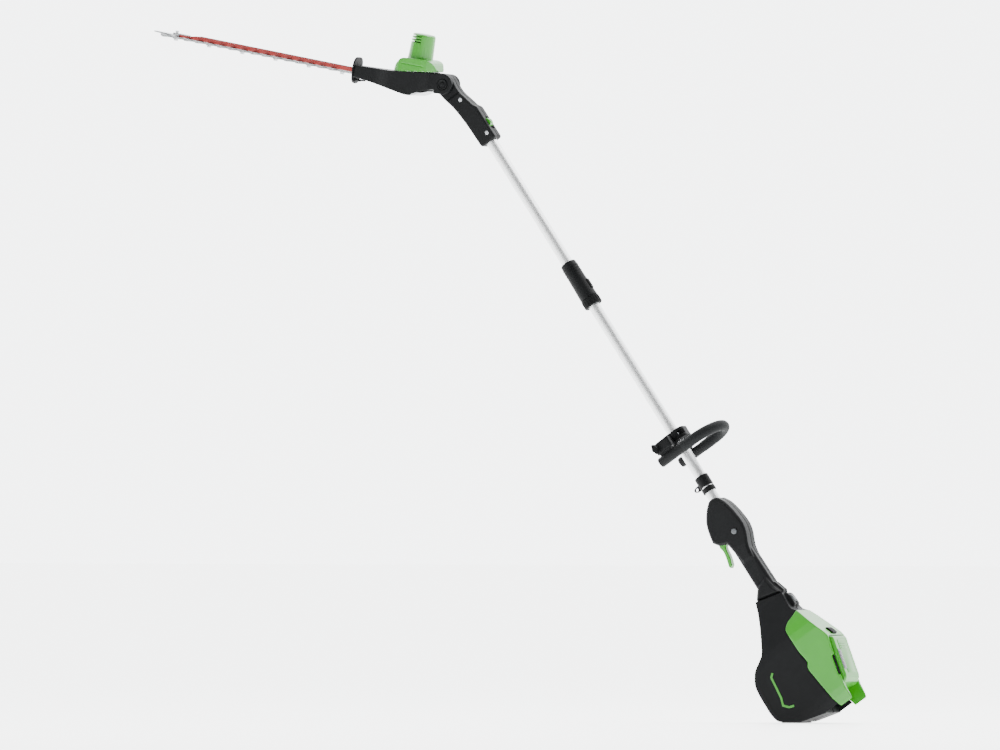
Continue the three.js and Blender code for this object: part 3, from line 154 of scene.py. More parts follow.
def axes(origin, along):
    """Matrix of a local frame: x along the given direction, y to the tool's right, z on top."""
    up = along.cross(side_axis)
    columns = (along, side_axis, up, origin)
    return Matrix([[c[row] for c in columns] for row in range(3)] + [[0, 0, 0, 1]])


POLE = axes(pole_start, down_pole)


def reach(name, frame_of=POLE):
    """Lowest and highest corner of a CAD node in a local frame."""
    inverse = frame_of.inverted()
    points = [inverse @ v.co for v in frame["nodes"][name].data.vertices]
    low = Vector([min(p[i] for p in points) for i in range(3)])
    high = Vector([max(p[i] for p in points) for i in range(3)])
    return low, high


def piece_of(name, vertices, faces, place_in, body, finish, slot, sharp=32, stands_for=()):
    """A new mesh piece in a local frame, smooth but for edges over the given angle, riding on a body."""
    mesh = bpy.data.meshes.new(name)
    mesh.from_pydata([place_in @ Vector(v) for v in vertices], [], faces)
    mesh.validate()
    mesh.materials.append(finish)
    made = bpy.data.objects.new(name, mesh)
    bpy.context.collection.objects.link(made)
    mesh.shade_smooth()
    mesh.set_sharp_from_angle(angle=math.radians(sharp))
    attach(made, body)
    if stands_for:
        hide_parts(*stands_for)
    return made


def lathe(profile, segments=72):
    """Vertices and faces turned about the local x axis through points (x, radius); a closed profile."""
    vertices, faces = [], []
    count = len(profile)
    for i in range(segments):
        turn = 2 * math.pi * i / segments
        vertices += [(x, r * math.cos(turn), r * math.sin(turn)) for x, r in profile]
    for i in range(segments):
        near, far = i * count, ((i + 1) % segments) * count
        for k in range(count):
            n = (k + 1) % count
            faces.append((near + k, near + n, far + n, far + k))
    return vertices, faces


def drawn_along(tree, place, axis_turn, per_mm, stretch):
    """Coordinates whose x runs along a leaning axis, squeezed so that noise draws out into lines."""
    turned = node(tree, "ShaderNodeVectorRotate", {"Vector": place, "Angle": axis_turn},
                  rotation_type="Y_AXIS")
    per_metre = per_mm * 1000
    squeezed = node(tree, "ShaderNodeVectorMath", {0: turned.outputs["Vector"],
                    1: (per_metre / stretch, per_metre, per_metre)}, operation="MULTIPLY")
    return squeezed.outputs["Vector"]


pole_lean = -math.atan2(-down_pole.z, down_pole.x)
anodised, tree, surface, place = begin("satin_anodised_aluminium", Metallic=1.0, Roughness=0.34)
LINES_PER_MM, LINE_STRETCH = 2.2, 90
drawn = drawn_along(tree, place, pole_lean, LINES_PER_MM, LINE_STRETCH)
lines = node(tree, "ShaderNodeTexNoise", {"Vector": drawn, "Scale": 1.0, "Detail": 4.0, "Roughness": 0.6})
cloud = node(tree, "ShaderNodeTexNoise", {"Vector": place, "Scale": 28.0, "Detail": 3.0})
rough = node(tree, "ShaderNodeMapRange", {"Value": lines.outputs["Fac"], "From Min": 0.3, "From Max": 0.7,
             "To Min": 0.42, "To Max": 0.5})
tree.links.new(rough.outputs["Result"], surface.inputs["Roughness"])
tone = node(tree, "ShaderNodeMix", {"Factor": cloud.outputs["Fac"], "A": linear("#e0e2e3"),
            "B": linear("#ececec")}, data_type="RGBA")
tree.links.new(tone.outputs["Result"], surface.inputs["Base Color"])
scratch = node(tree, "ShaderNodeBump", {"Height": lines.outputs["Fac"], "Strength": 0.03, "Distance": 0.0002})
tree.links.new(scratch.outputs["Normal"], surface.inputs["Normal"])

TUBE_R = 0.014
TUBE_WALL = 0.0018
TUBE_CHAMFER = 0.0006
for name in ("upper_pole", "lower_pole"):
    start, end = (corner.x for corner in reach(name))
    inner = TUBE_R - TUBE_WALL
    shape = lathe([
        (start, inner), (start, TUBE_R - TUBE_CHAMFER), (start + TUBE_CHAMFER, TUBE_R),
        (end - TUBE_CHAMFER, TUBE_R), (end, TUBE_R - TUBE_CHAMFER), (end, inner),
    ], 96)
    piece_of(f"{name}_tube", *shape, POLE, body_of[name], anodised, "pole_aluminium", stands_for=[name])

# ---------------------------------------------------------------- cutting bar
# A steel bar with its long edges folded up, powder coated brick red; the blades run under it. The
# coat is satin with a fine orange peel, and it is rubbed paler in streaks along the bar.
along_head = Vector(joint["upper_stroke"]["axis"]).normalized()
HEAD = axes(pivot, along_head)
head_lean = -math.atan2(-along_head.z, along_head.x)


def plate(name, source, width, finish, steps=2):
    """A copy of a flat CAD plate with its long edges broken by a small bevel."""
    made = bpy.data.objects.new(name, frame["nodes"][source].data.copy())
    bpy.context.collection.objects.link(made)
    weld = made.modifiers.new("weld", "WELD")
    weld.merge_threshold = 0.00001
    flats = made.modifiers.new("flats", "DECIMATE")
    flats.decimate_type = "DISSOLVE"
    flats.angle_limit = math.radians(2)
    edge = made.modifiers.new("edge", "BEVEL")
    edge.width = width
    edge.segments = steps
    edge.limit_method = "ANGLE"
    edge.angle_limit = math.radians(50)
    edge.use_clamp_overlap = True
    return settle(made, source, finish, 30)


def settle(made, source, finish, sharp):
    """Applies a piece's modifiers, gives it its finish, and lets it stand for its CAD node."""
    drawn = bpy.data.meshes.new_from_object(made.evaluated_get(bpy.context.evaluated_depsgraph_get()))
    made.modifiers.clear()
    made.data = drawn
    drawn.materials.clear()
    drawn.materials.append(finish)
    drawn.shade_smooth()
    drawn.set_sharp_from_angle(angle=math.radians(sharp))
    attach(made, body_of[source])
    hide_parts(source)
    return made


red_coat, tree, surface, place = begin("brick_red_powder_coat", Roughness=0.42, IOR=1.5)
peel = node(tree, "ShaderNodeTexNoise", {"Vector": place, "Scale": 900.0, "Detail": 2.0})
wear = node(tree, "ShaderNodeTexNoise", {"Vector": drawn_along(tree, place, head_lean, 0.16, 9), "Scale": 1.0,
            "Detail": 7.0, "Roughness": 0.72})
rubbed = node(tree, "ShaderNodeMapRange", {"Value": wear.outputs["Fac"], "From Min": 0.58, "From Max": 0.74})
tone = node(tree, "ShaderNodeMix", {"Factor": rubbed.outputs["Result"], "A": linear("#8c1a14"),
            "B": linear("#a4635c")}, data_type="RGBA")
tree.links.new(tone.outputs["Result"], surface.inputs["Base Color"])
rough = node(tree, "ShaderNodeMapRange", {"Value": rubbed.outputs["Result"], "To Min": 0.38, "To Max": 0.6})
tree.links.new(rough.outputs["Result"], surface.inputs["Roughness"])
skin = node(tree, "ShaderNodeBump", {"Height": peel.outputs["Fac"], "Strength": 0.16, "Distance": 0.0003})
tree.links.new(skin.outputs["Normal"], surface.inputs["Normal"])
plate("support_bar_coated", "support_bar", 0.0006, red_coat)

LIP_HEIGHT, LIP_WALL = 0.0045, 0.002
bar_low, bar_high = reach("support_bar", HEAD)
lip_from, lip_to = bar_low.x + 0.024, reach("hand_guard", HEAD)[0].x - 0.003
for name, edge_y in (("left", bar_low.y), ("right", bar_high.y - LIP_WALL)):
    rim = [(lip_from, bar_high.z - 0.001), (lip_to, bar_high.z - 0.001), (lip_to, bar_high.z + LIP_HEIGHT),
           (lip_from + 0.022, bar_high.z + LIP_HEIGHT), (lip_from + 0.004, bar_high.z + 0.0008)]
    vertices = [(x, edge_y + y, z) for y in (0, LIP_WALL) for x, z in rim]
    faces = [(0, 1, 2, 3, 4), (9, 8, 7, 6, 5)] + [(k, k + 5, (k + 1) % 5 + 5, (k + 1) % 5) for k in range(5)]
    lip = piece_of(f"support_bar_lip_{name}", vertices, faces, HEAD, "head", red_coat, "red_paint")
    soft = lip.modifiers.new("edge", "BEVEL")
    soft.width = 0.0006
    soft.segments = 2

# ---------------------------------------------------------------- blades
# Two toothed strips punched from tool steel, hardened, and ground on both flats and along each tooth.
# Bare steel: grey, with fine grinding lines across the strip and bright ground bevels at the teeth.
ground, tree, surface, place = begin("ground_tool_steel", Metallic=1.0, Roughness=0.3)
GRIND_PER_MM, GRIND_STRETCH = 1.6, 0.05
across = drawn_along(tree, place, head_lean, GRIND_PER_MM, GRIND_STRETCH)
grind = node(tree, "ShaderNodeTexNoise", {"Vector": across, "Scale": 1.0, "Detail": 5.0, "Roughness": 0.65})
stain = node(tree, "ShaderNodeTexNoise", {"Vector": place, "Scale": 34.0, "Detail": 5.0, "Roughness": 0.6})
tone = node(tree, "ShaderNodeMix", {"Factor": stain.outputs["Fac"], "A": linear("#9b9d9f"),
            "B": linear("#c9cbcc")}, data_type="RGBA")
tree.links.new(tone.outputs["Result"], surface.inputs["Base Color"])
rough = node(tree, "ShaderNodeMapRange", {"Value": grind.outputs["Fac"], "From Min": 0.3, "From Max": 0.7,
             "To Min": 0.22, "To Max": 0.4})
tree.links.new(rough.outputs["Result"], surface.inputs["Roughness"])
scratch = node(tree, "ShaderNodeBump", {"Height": grind.outputs["Fac"], "Strength": 0.2, "Distance": 0.0002})
tree.links.new(scratch.outputs["Normal"], surface.inputs["Normal"])
BLADE_GRIND = 0.0011
for name in ("upper_blade", "lower_blade"):
    plate(f"{name}_ground", name, BLADE_GRIND, ground, 1)
plate("nose_guard_ground", "nose_guard", 0.0005, ground)

# ---------------------------------------------------------------- bar bolts
# Shouldered bolts with washers and lock nuts, turned from steel and zinc plated: a slightly blue,
# slightly cloudy bright metal. Each holds the bar and both blades, and lets the blades slide.
zinc, tree, surface, place = begin("zinc_plated_steel", Metallic=1.0, Roughness=0.3)
bloom = node(tree, "ShaderNodeTexNoise", {"Vector": place, "Scale": 160.0, "Detail": 3.0})
tone = node(tree, "ShaderNodeMix", {"Factor": bloom.outputs["Fac"], "A": linear("#a9adb2"),
            "B": linear("#ced1d2")}, data_type="RGBA")
tree.links.new(tone.outputs["Result"], surface.inputs["Base Color"])
rough = node(tree, "ShaderNodeMapRange", {"Value": bloom.outputs["Fac"], "To Min": 0.22, "To Max": 0.42})
tree.links.new(rough.outputs["Result"], surface.inputs["Roughness"])


def hexagon(across, low, high):
    """A six-sided nut about the local x axis, chamfered at its outer end."""
    corner = across / math.sqrt(3)
    edge = (high - low) * 0.12
    rings = [(low, corner), (high - edge, corner), (high, corner * 0.93)]
    vertices, faces = [], []
    for x, r in rings:
        vertices += [(x, r * math.cos(math.pi * i / 3), r * math.sin(math.pi * i / 3)) for i in range(6)]
    for ring in range(len(rings) - 1):
        for i in range(6):
            n = (i + 1) % 6
            faces.append((ring * 6 + i, ring * 6 + n, ring * 6 + 6 + n, ring * 6 + 6 + i))
    faces.append(tuple(range(5, -1, -1)))
    last = len(rings) * 6 - 6
    faces.append(tuple(range(last, last + 6)))
    return vertices, faces


BOLT_R, WASHER_R, HEAD_R, SOCKET_R = 0.003, 0.007, 0.0049, 0.0024
HEAD_TALL, NUT_TALL, NUT_ACROSS = 0.0026, 0.0044, 0.0088
for i in range(1, 7):
    low, high = reach(f"bar_bolt_{i}", HEAD)
    middle = (low + high) / 2
    stand = HEAD @ Matrix.Translation((middle.x, middle.y, 0)) @ Matrix.Rotation(-math.pi / 2, 4, "Y")
    washer = low.z + NUT_TALL
    shank = lathe([
        (low.z + 0.001, 0), (low.z + 0.001, BOLT_R), (washer, BOLT_R), (washer, WASHER_R - 0.0002),
        (washer + 0.0003, WASHER_R), (washer + 0.0011, WASHER_R), (washer + 0.0012, WASHER_R - 0.0002),
        (washer + 0.0012, BOLT_R), (high.z - HEAD_TALL, BOLT_R), (high.z - HEAD_TALL, HEAD_R),
        (high.z - 0.0007, HEAD_R), (high.z, 0.004), (high.z, SOCKET_R), (high.z - 0.0016, SOCKET_R),
        (high.z - 0.0016, 0),
    ], 40)
    name = f"bar_bolt_{i}"
    piece_of(f"{name}_turned", *shank, stand, body_of[name], zinc, "zinc_steel", stands_for=[name])
    nut = hexagon(NUT_ACROSS, low.z, washer - 0.0001)
    piece_of(f"{name}_nut", *nut, stand, body_of[name], zinc, "zinc_steel", 20)

# ---------------------------------------------------------------- hand guard
# A domed plate round the bar's root, moulded in glass-filled nylon. The mould is spark eroded, so the
# black skin is matt with a fine even grain, and its edges catch a soft grey line of light.


def moulded(source, voxel, passes, finish, keep=0.3):
    """A copy of a CAD moulding with its edges rounded as a mould leaves them."""
    made = bpy.data.objects.new(f"{source}_moulding", frame["nodes"][source].data.copy())
    bpy.context.collection.objects.link(made)
    grid = made.modifiers.new("grid", "REMESH")
    grid.mode = "VOXEL"
    grid.voxel_size = voxel
    ease = made.modifiers.new("ease", "SMOOTH")
    ease.factor = 0.5
    ease.iterations = passes
    thin = made.modifiers.new("thin", "DECIMATE")
    thin.ratio = keep
    return settle(made, source, finish, 60)


def grained(name, dark, light, rough_low, rough_high, grain_mm, strength, **shader):
    """A moulded plastic: tone that drifts a little, an even spark grain, and roughness that follows it."""
    made, tree, surface, place = begin(name, **shader)
    drift = node(tree, "ShaderNodeTexNoise", {"Vector": place, "Scale": 22.0, "Detail": 4.0})
    tone = node(tree, "ShaderNodeMix", {"Factor": drift.outputs["Fac"], "A": linear(dark),
                "B": linear(light)}, data_type="RGBA")
    tree.links.new(tone.outputs["Result"], surface.inputs["Base Color"])
    grain = node(tree, "ShaderNodeTexNoise", {"Vector": place, "Scale": 1000 / grain_mm, "Detail": 2.0})
    rough = node(tree, "ShaderNodeMapRange", {"Value": grain.outputs["Fac"], "From Min": 0.3, "From Max": 0.7,
                 "To Min": rough_low, "To Max": rough_high})
    tree.links.new(rough.outputs["Result"], surface.inputs["Roughness"])
    skin = node(tree, "ShaderNodeBump", {"Height": grain.outputs["Fac"], "Strength": strength,
                "Distance": 0.0003})
    tree.links.new(skin.outputs["Normal"], surface.inputs["Normal"])
    return made


# the grain is drawn at 1.2 mm, three times the real one, so that it still shows
nylon = grained("black_glass_filled_nylon", "#08090a", "#0e0f10", 0.46, 0.62, 1.2, 0.22, IOR=1.5,
               Specular_IOR_Level=0.12)
moulded("hand_guard", 0.0007, 8, nylon)

# ---------------------------------------------------------------- gear case
# The gearbox's upper shell, two thick ears at its back for the tilt pivot. Glass-filled nylon again,
# with screw bosses along its lower edge where the alloy cover is screwed on.
moulded("gear_case", 0.0011, 7, nylon)

# ---------------------------------------------------------------- gear cover
# A die-cast light alloy lid under the gears. Trimmed, tumbled and bead blasted: a pale grey metal
# with a dense fine pitting and softened edges.
blasted, tree, surface, place = begin("bead_blasted_die_cast_alloy", Metallic=1.0, Roughness=0.46)
pits = node(tree, "ShaderNodeTexNoise", {"Vector": place, "Scale": 1100.0, "Detail": 3.0})
flow = node(tree, "ShaderNodeTexNoise", {"Vector": place, "Scale": 60.0, "Detail": 4.0})
tone = node(tree, "ShaderNodeMix", {"Factor": flow.outputs["Fac"], "A": linear("#b3b5b7"),
            "B": linear("#cfd0d1")}, data_type="RGBA")
tree.links.new(tone.outputs["Result"], surface.inputs["Base Color"])
skin = node(tree, "ShaderNodeBump", {"Height": pits.outputs["Fac"], "Strength": 0.3, "Distance": 0.0002})
tree.links.new(skin.outputs["Normal"], surface.inputs["Normal"])
moulded("gear_cover", 0.0009, 7, blasted)

# ---------------------------------------------------------------- motor cover
# The motor's cap: a flange on the gear case and a round barrel with vent slots. Moulded in yellow-green
# ABS with a finer grain than the black shells, so it has a soft gloss.
abs_green = grained("yellow_green_abs", "#217a02", "#2a8706", 0.3, 0.42, 1.0, 0.1, IOR=1.5,
                    Coat_Weight=0.12, Coat_Roughness=0.2)
moulded("motor_cover", 0.0006, 7, abs_green, 0.25)

# ---------------------------------------------------------------- motor and drive
# The works under the covers: laminated stator, enamelled copper windings, turned rotor, moulded fan,
# ball bearings, and a hardened gear with two eccentrics on a fixed axle.
laminations, tree, surface, place = begin("stacked_steel_laminations", Metallic=1.0, Roughness=0.42)
stack = node(tree, "ShaderNodeTexWave", {"Vector": place, "Scale": 320.0}, bands_direction="Z")
tone = node(tree, "ShaderNodeMix", {"Factor": stack.outputs["Fac"], "A": linear("#6f7378"),
            "B": linear("#a4a7aa")}, data_type="RGBA")
tree.links.new(tone.outputs["Result"], surface.inputs["Base Color"])

copper, tree, surface, place = begin("enamelled_copper_winding", Metallic=1.0, Roughness=0.32)
turns = node(tree, "ShaderNodeTexWave", {"Vector": place, "Scale": 240.0, "Distortion": 1.5},
             bands_direction="X")
# the grooves between the turns are painted darker and their crowns lighter: painted shade and painted highlight on
# the windings, while the same bands also give the bump
tone = node(tree, "ShaderNodeMix", {"Factor": turns.outputs["Fac"], "A": linear("#8a4a22"),
            "B": linear("#c8743a")}, data_type="RGBA")
tree.links.new(tone.outputs["Result"], surface.inputs["Base Color"])
ridge = node(tree, "ShaderNodeBump", {"Height": turns.outputs["Fac"], "Strength": 0.5, "Distance": 0.0004})
tree.links.new(ridge.outputs["Normal"], surface.inputs["Normal"])


def finish_node(name, finish):
    """Puts a finish on a CAD node that is shown as it is."""
    shown = frame["nodes"][name]
    shown.data.materials.clear()
    shown.data.materials.append(finish)
    shown.data.shade_smooth()
    shown.data.set_sharp_from_angle(angle=math.radians(32))


finish_node("motor_stator", laminations)
finish_node("motor_windings", copper)
finish_node("cooling_fan", nylon)
for name in ("motor_rotor", "lower_motor_bearing", "upper_motor_bearing", "gear_axle", "drive_gear"):
    finish_node(name, zinc)

# ---------------------------------------------------------------- tilt pivot
# A thick bolt through the ears with a moulded cap on its head, a hexagon nut let into the other ear,
# and the notched steel disc between them that the lock's pawl drops into.
moulded("pivot_bolt", 0.0006, 6, nylon)
plate("pivot_nut_plated", "pivot_nut", 0.0005, zinc)
plate("index_hub_plated", "index_hub", 0.0003, zinc)

# ---------------------------------------------------------------- tilt arm
# Two mirrored nylon shells screwed together round the pole's upper end and the pivot disc, with the
# lock's long steel pawl inside and its green release button let into the top.
for name in ("arm_left", "arm_right"):
    moulded(name, 0.0009, 8, nylon)
for name in ("arm_screw_1", "arm_screw_2", "lock_pawl"):
    finish_node(name, zinc)
moulded("release_button", 0.0005, 4, abs_green)

low, high = reach("release_button")
RIB = 0.0006
for k in range(4):
    at = low.x + (high.x - low.x) * (0.42 + 0.1 * k)
    shape = lathe([(-0.0062, 0), (-0.006, RIB), (0.006, RIB), (0.0062, 0)], 12)
    bar = POLE @ Matrix.Translation((at, 0, high.z)) @ Matrix.Rotation(math.pi / 2, 4, "Z")
    piece_of(f"release_button_rib_{k + 1}", *shape, bar, "tilt_lock", abs_green, "green_plastic")

# ---------------------------------------------------------------- pole coupler
# A tapered nylon sleeve fixed on the upper tube, with a raised pad for the thumb, and below it the
# ribbed collar that turns to grip the lower tube.
soft_black = grained("soft_touch_elastomer", "#08090a", "#0e0f0f", 0.62, 0.8, 1.5, 0.3, IOR=1.45,
                    Specular_IOR_Level=0.12)
low, high = reach("coupler_sleeve")
start, end = low.x, reach("twist_collar")[0].x
bore = TUBE_R + 0.0003
shape = lathe([
    (start, bore), (start, TUBE_R + 0.0032), (start + 0.0006, TUBE_R + 0.0042),
    (start + 0.003, TUBE_R + 0.0054), (start + 0.008, TUBE_R + 0.0057),
    (start + 0.034, TUBE_R + 0.0062), (end - 0.0075, TUBE_R + 0.0078),
    (end - 0.004, TUBE_R + 0.008), (end - 0.0014, TUBE_R + 0.0078), (end - 0.0004, TUBE_R + 0.0068),
    (end - 0.0004, TUBE_R + 0.0034), (high.x, TUBE_R + 0.003), (high.x, bore),
], 96)
piece_of("coupler_sleeve_moulding", *shape, POLE, "upper_line", nylon, "black_plastic",
         stands_for=["coupler_sleeve"])


def pebble(x0, x1, y0, y1, z0, z1, r, steps=3):
    """A block with rounded upper edges and corners, in local x, y and z."""
    ring = []
    for cx, cy, first in ((x1 - r, y1 - r, 0), (x0 + r, y1 - r, 1), (x0 + r, y0 + r, 2), (x1 - r, y0 + r, 3)):
        for i in range(steps + 1):
            turn = math.pi / 2 * (first + i / steps)
            ring.append((cx, cy, math.cos(turn), math.sin(turn)))
    vertices, count = [], len(ring)
    rises = [math.pi / 2 * i / steps for i in range(steps + 1)]
    levels = [(z0, r)] + [(z1 - r + r * math.sin(rise), r * math.cos(rise)) for rise in rises]
    for z, spread in levels:
        vertices += [(cx + c * spread, cy + s * spread, z) for cx, cy, c, s in ring]
    faces = []
    for level in range(len(levels) - 1):
        for i in range(count):
            n = (i + 1) % count
            a, b = level * count, (level + 1) * count
            faces.append((a + i, a + n, b + n, b + i))
    faces.append(tuple(range(count - 1, -1, -1)))
    top = (len(levels) - 1) * count
    faces.append(tuple(range(top, top + count)))
    return vertices, faces


pad_top = high.z
shape = pebble(start + 0.058, start + 0.084, -0.0065, 0.0065, TUBE_R + 0.004, pad_top, 0.002)
piece_of("coupler_pad", *shape, POLE, "upper_line", soft_black, "black_plastic")
for k in range(5):
    at = start + 0.062 + 0.0045 * k
    shape = pebble(at, at + 0.0016, -0.0052, 0.0052, pad_top - 0.001, pad_top + 0.0005, 0.0005)
    piece_of(f"coupler_pad_rib_{k + 1}", *shape, POLE, "upper_line", soft_black, "black_plastic")
for k, at in enumerate((0.012, 0.020, 0.028)):
    shape = lathe([(start + at, TUBE_R + 0.005), (start + at + 0.0004, TUBE_R + 0.0067),
                   (start + at + 0.0026, TUBE_R + 0.0067), (start + at + 0.003, TUBE_R + 0.005)], 96)
    piece_of(f"coupler_hoop_{k + 1}", *shape, POLE, "upper_line", nylon, "black_plastic")

low, high = reach("twist_collar")
FLUTE_DEPTH = 0.0011
outer, flutes, per_flute = high.z, 18, 6
profile = [
    (low.x, TUBE_R + 0.0038, 0), (low.x, outer - 0.0014, 0), (low.x + 0.0012, outer - 0.0002, 0),
    (low.x + 0.0035, outer, 0), (low.x + 0.0045, outer, 1), (high.x - 0.0045, outer, 1),
    (high.x - 0.0035, outer, 0), (high.x - 0.0012, outer - 0.0003, 0), (high.x, outer - 0.0015, 0),
    (high.x, bore + 0.0004, 0),
    (high.x - 0.004, bore + 0.0004, 0), (high.x - 0.004, TUBE_R + 0.0038, 0),
]
segments = flutes * per_flute
vertices = []
for i in range(segments):
    turn = 2 * math.pi * i / segments
    dip = FLUTE_DEPTH * max(0, math.cos(2 * math.pi * i / per_flute))
    radii = [(x, r - dip * deep) for x, r, deep in profile]
    vertices += [(x, r * math.cos(turn), r * math.sin(turn)) for x, r in radii]
count = len(profile)
faces = [
    (i * count + k, i * count + (k + 1) % count, (i + 1) % segments * count + (k + 1) % count,
     (i + 1) % segments * count + k)
    for i in range(segments) for k in range(count)
]
piece_of("twist_collar_fluted", vertices, faces, POLE, "coupler_nut", soft_black, "black_plastic",
         stands_for=["twist_collar"])

# ---------------------------------------------------------------- power lead
# A round two-core lead in a black rubber sheath runs inside the tubes, with a plug and a socket that
# part when the poles are pulled apart.
sheath = grained("black_rubber_sheath", "#111112", "#18191a", 0.5, 0.66, 1.4, 0.15, IOR=1.5)
for name in ("upper_power_lead", "lower_power_lead"):
    finish_node(name, sheath)

# ---------------------------------------------------------------- loop handle
# A D-shaped bar of moulded nylon with a foamed sleeve round its bend, on a bridge that sits on the
# pole. The sleeve is matt and slightly soft, a little greyer than the bridge.
foam = grained("foamed_rubber_sleeve", "#0e0f10", "#161819", 0.62, 0.8, 1.8, 0.42, IOR=1.45,
              Specular_IOR_Level=0.16)
moulded("loop_handle", 0.0012, 8, nylon, 0.35)
low, high = reach("loop_handle")
BAR_R = 0.0122
LOOP_HALF = 0.060
loop_plane = high.x - BAR_R
round_centre = high.z - BAR_R - LOOP_HALF
foot_end = low.z + 0.001


def tube_along(path, radius, segments=28):
    """A closed round tube through points in the local y, z plane, with domed ends."""
    frames = []
    for i, (y, z) in enumerate(path):
        a, b = path[max(i - 1, 0)], path[min(i + 1, len(path) - 1)]
        length = math.hypot(b[0] - a[0], b[1] - a[1])
        frames.append((y, z, (b[0] - a[0]) / length, (b[1] - a[1]) / length))
    first, last = frames[0], frames[-1]
    rings = [(first, -0.35, 0.72), (first, -0.22, 0.9)] + [(f, 0, 1) for f in frames]
    rings += [(last, 0.22, 0.9), (last, 0.35, 0.72)]
    vertices, faces = [], []
    for (y, z, dy, dz), push, share in rings:
        cy, cz = y + dy * push * radius, z + dz * push * radius
        for k in range(segments):
            turn = 2 * math.pi * k / segments
            out, off = radius * share * math.cos(turn), radius * share * math.sin(turn)
            vertices.append((loop_plane + off, cy - dz * out, cz + dy * out))
    for ring in range(len(rings) - 1):
        for k in range(segments):
            n = (k + 1) % segments
            a, b = ring * segments, (ring + 1) * segments
            faces.append((a + k, a + n, b + n, b + k))
    faces.append(tuple(range(segments - 1, -1, -1)))
    top = (len(rings) - 1) * segments
    faces.append(tuple(range(top, top + segments)))
    return vertices, faces


def bend(from_turn, to_turn, steps):
    """Points round the loop's bend, with turns measured from the right leg."""
    turns = [from_turn + (to_turn - from_turn) * i / steps for i in range(steps + 1)]
    return [(LOOP_HALF * math.cos(t), round_centre + LOOP_HALF * math.sin(t)) for t in turns]


leg_left = [(-LOOP_HALF, foot_end + 0.003), (-LOOP_HALF, round_centre - 0.012)]
leg_right = [(-y, z) for y, z in reversed(leg_left)]
BEND_STEPS = 48
bar_path = leg_left + bend(math.pi, 0, BEND_STEPS) + leg_right
piece_of("loop_bar", *tube_along(bar_path, BAR_R + 0.0002), POLE, "front_handle", nylon, "soft_black", 50)
sleeve_end = round_centre - 0.030
sleeve_path = [(-LOOP_HALF, sleeve_end)] + bend(math.pi, 0, BEND_STEPS) + [(LOOP_HALF, sleeve_end)]
sleeve = tube_along(sleeve_path, BAR_R + 0.0009)
piece_of("loop_foam_sleeve", *sleeve, POLE, "front_handle", foam, "soft_black", 50)

# ---------------------------------------------------------------- handle clamp
# The upper half of the loop's clamp, a nylon block over the pole held by two zinc plated screws, and
# the winged knob at the left that locks the loop.
moulded("clamp_cap", 0.0007, 7, nylon)
for name in ("clamp_bolt_1", "clamp_bolt_2"):
    finish_node(name, zinc)
moulded("clamp_knob", 0.0006, 6, soft_black)

# ---------------------------------------------------------------- strap collar
# A split nylon ring with an eye for the shoulder strap, and a plain ring below that stops it sliding.
# Both are pushed on the tube and pinched by one small screw each.
moulded("strap_collar", 0.0006, 8, nylon)
moulded("stop_ring", 0.0006, 8, nylon)
for k, name in enumerate(("strap_collar", "stop_ring")):
    low, high = reach(name)
    at = low.x + 0.006
    shape = lathe([(-0.001, 0), (-0.001, 0.0026), (0.0006, 0.0026), (0.001, 0.0022), (0.001, 0.0012),
                   (0.0002, 0.0012), (0.0002, 0)], 28)
    on_side = POLE @ Matrix.Translation((at, high.y, 0)) @ Matrix.Rotation(math.pi / 2, 4, "Z")
    piece_of(f"{name}_screw", *shape, on_side, "rear_assembly", zinc, "zinc_steel")

# ---------------------------------------------------------------- rear handle
# The switch pod and grip, two nylon shells screwed together from the right. A soft-touch elastomer is
# moulded over the grip's underside and back, with fine dimples, where the hand closes on it.
nose = reach("handle_left")[0].x
REAR = POLE @ Matrix.Translation((nose, 0, 0))
GRIP_FROM, GRIP_TO, GRIP_TOP = 0.132, 0.246, 0.010

overmould, tree, surface, place = begin("dimpled_overmould_elastomer", Roughness=0.72, IOR=1.48,
                                        Specular_IOR_Level=0.16)
cells = node(tree, "ShaderNodeTexVoronoi", {"Vector": place, "Scale": 420.0}, feature="F1")
dimple_depth_and_shade = node(tree, "ShaderNodeMapRange", {"Value": cells.outputs["Distance"], "From Min": 0.15,
            "From Max": 0.5})
# each dimple's hollow is painted darker than its rim: painted shade in the dimples, while the same pattern also
# gives their bump
tone = node(tree, "ShaderNodeMix", {"Factor": dimple_depth_and_shade.outputs["Result"], "A": linear("#090a0b"),
            "B": linear("#101112")}, data_type="RGBA")
tree.links.new(tone.outputs["Result"], surface.inputs["Base Color"])
skin = node(tree, "ShaderNodeBump", {"Height": dimple_depth_and_shade.outputs["Result"], "Strength": 0.5, "Distance": 0.0004})
tree.links.new(skin.outputs["Normal"], surface.inputs["Normal"])

for name in ("handle_left", "handle_right"):
    shell = moulded(name, 0.0010, 9, nylon)
    shell.data.materials.append(overmould)
    to_rear = REAR.inverted()
    for face in shell.data.polygons:
        x, y, z = to_rear @ face.center
        edge = GRIP_TOP - 0.008 * ((x - GRIP_FROM) / (GRIP_TO - GRIP_FROM))
        if GRIP_FROM < x < GRIP_TO and z < edge and abs(y) > 0.001:
            face.material_index = 1


def screw(name, at, head):
    """A small recessed screw head of the given radius in the rear frame, facing right."""
    shape = lathe([
        (-0.003, 0), (-0.003, head), (0, head), (0.0004, head * 0.86), (0.0004, head * 0.42),
        (-0.0012, head * 0.38), (-0.0012, 0),
    ], 32)
    stand = REAR @ Matrix.Translation(at) @ Matrix.Rotation(math.pi / 2, 4, "Z")
    piece_of(name, *shape, stand, "rear_assembly", zinc, "zinc_steel")


POD_SCREW_R = 0.0036
pod_face = reach("handle_right", REAR)[1].y
for k, (x, z) in enumerate(((0.024, 0.006), (0.070, 0.030), (0.074, -0.040), (0.118, 0.020))):
    screw(f"pod_screw_{k + 1}", (x, pod_face - 0.0002, z), POD_SCREW_R)

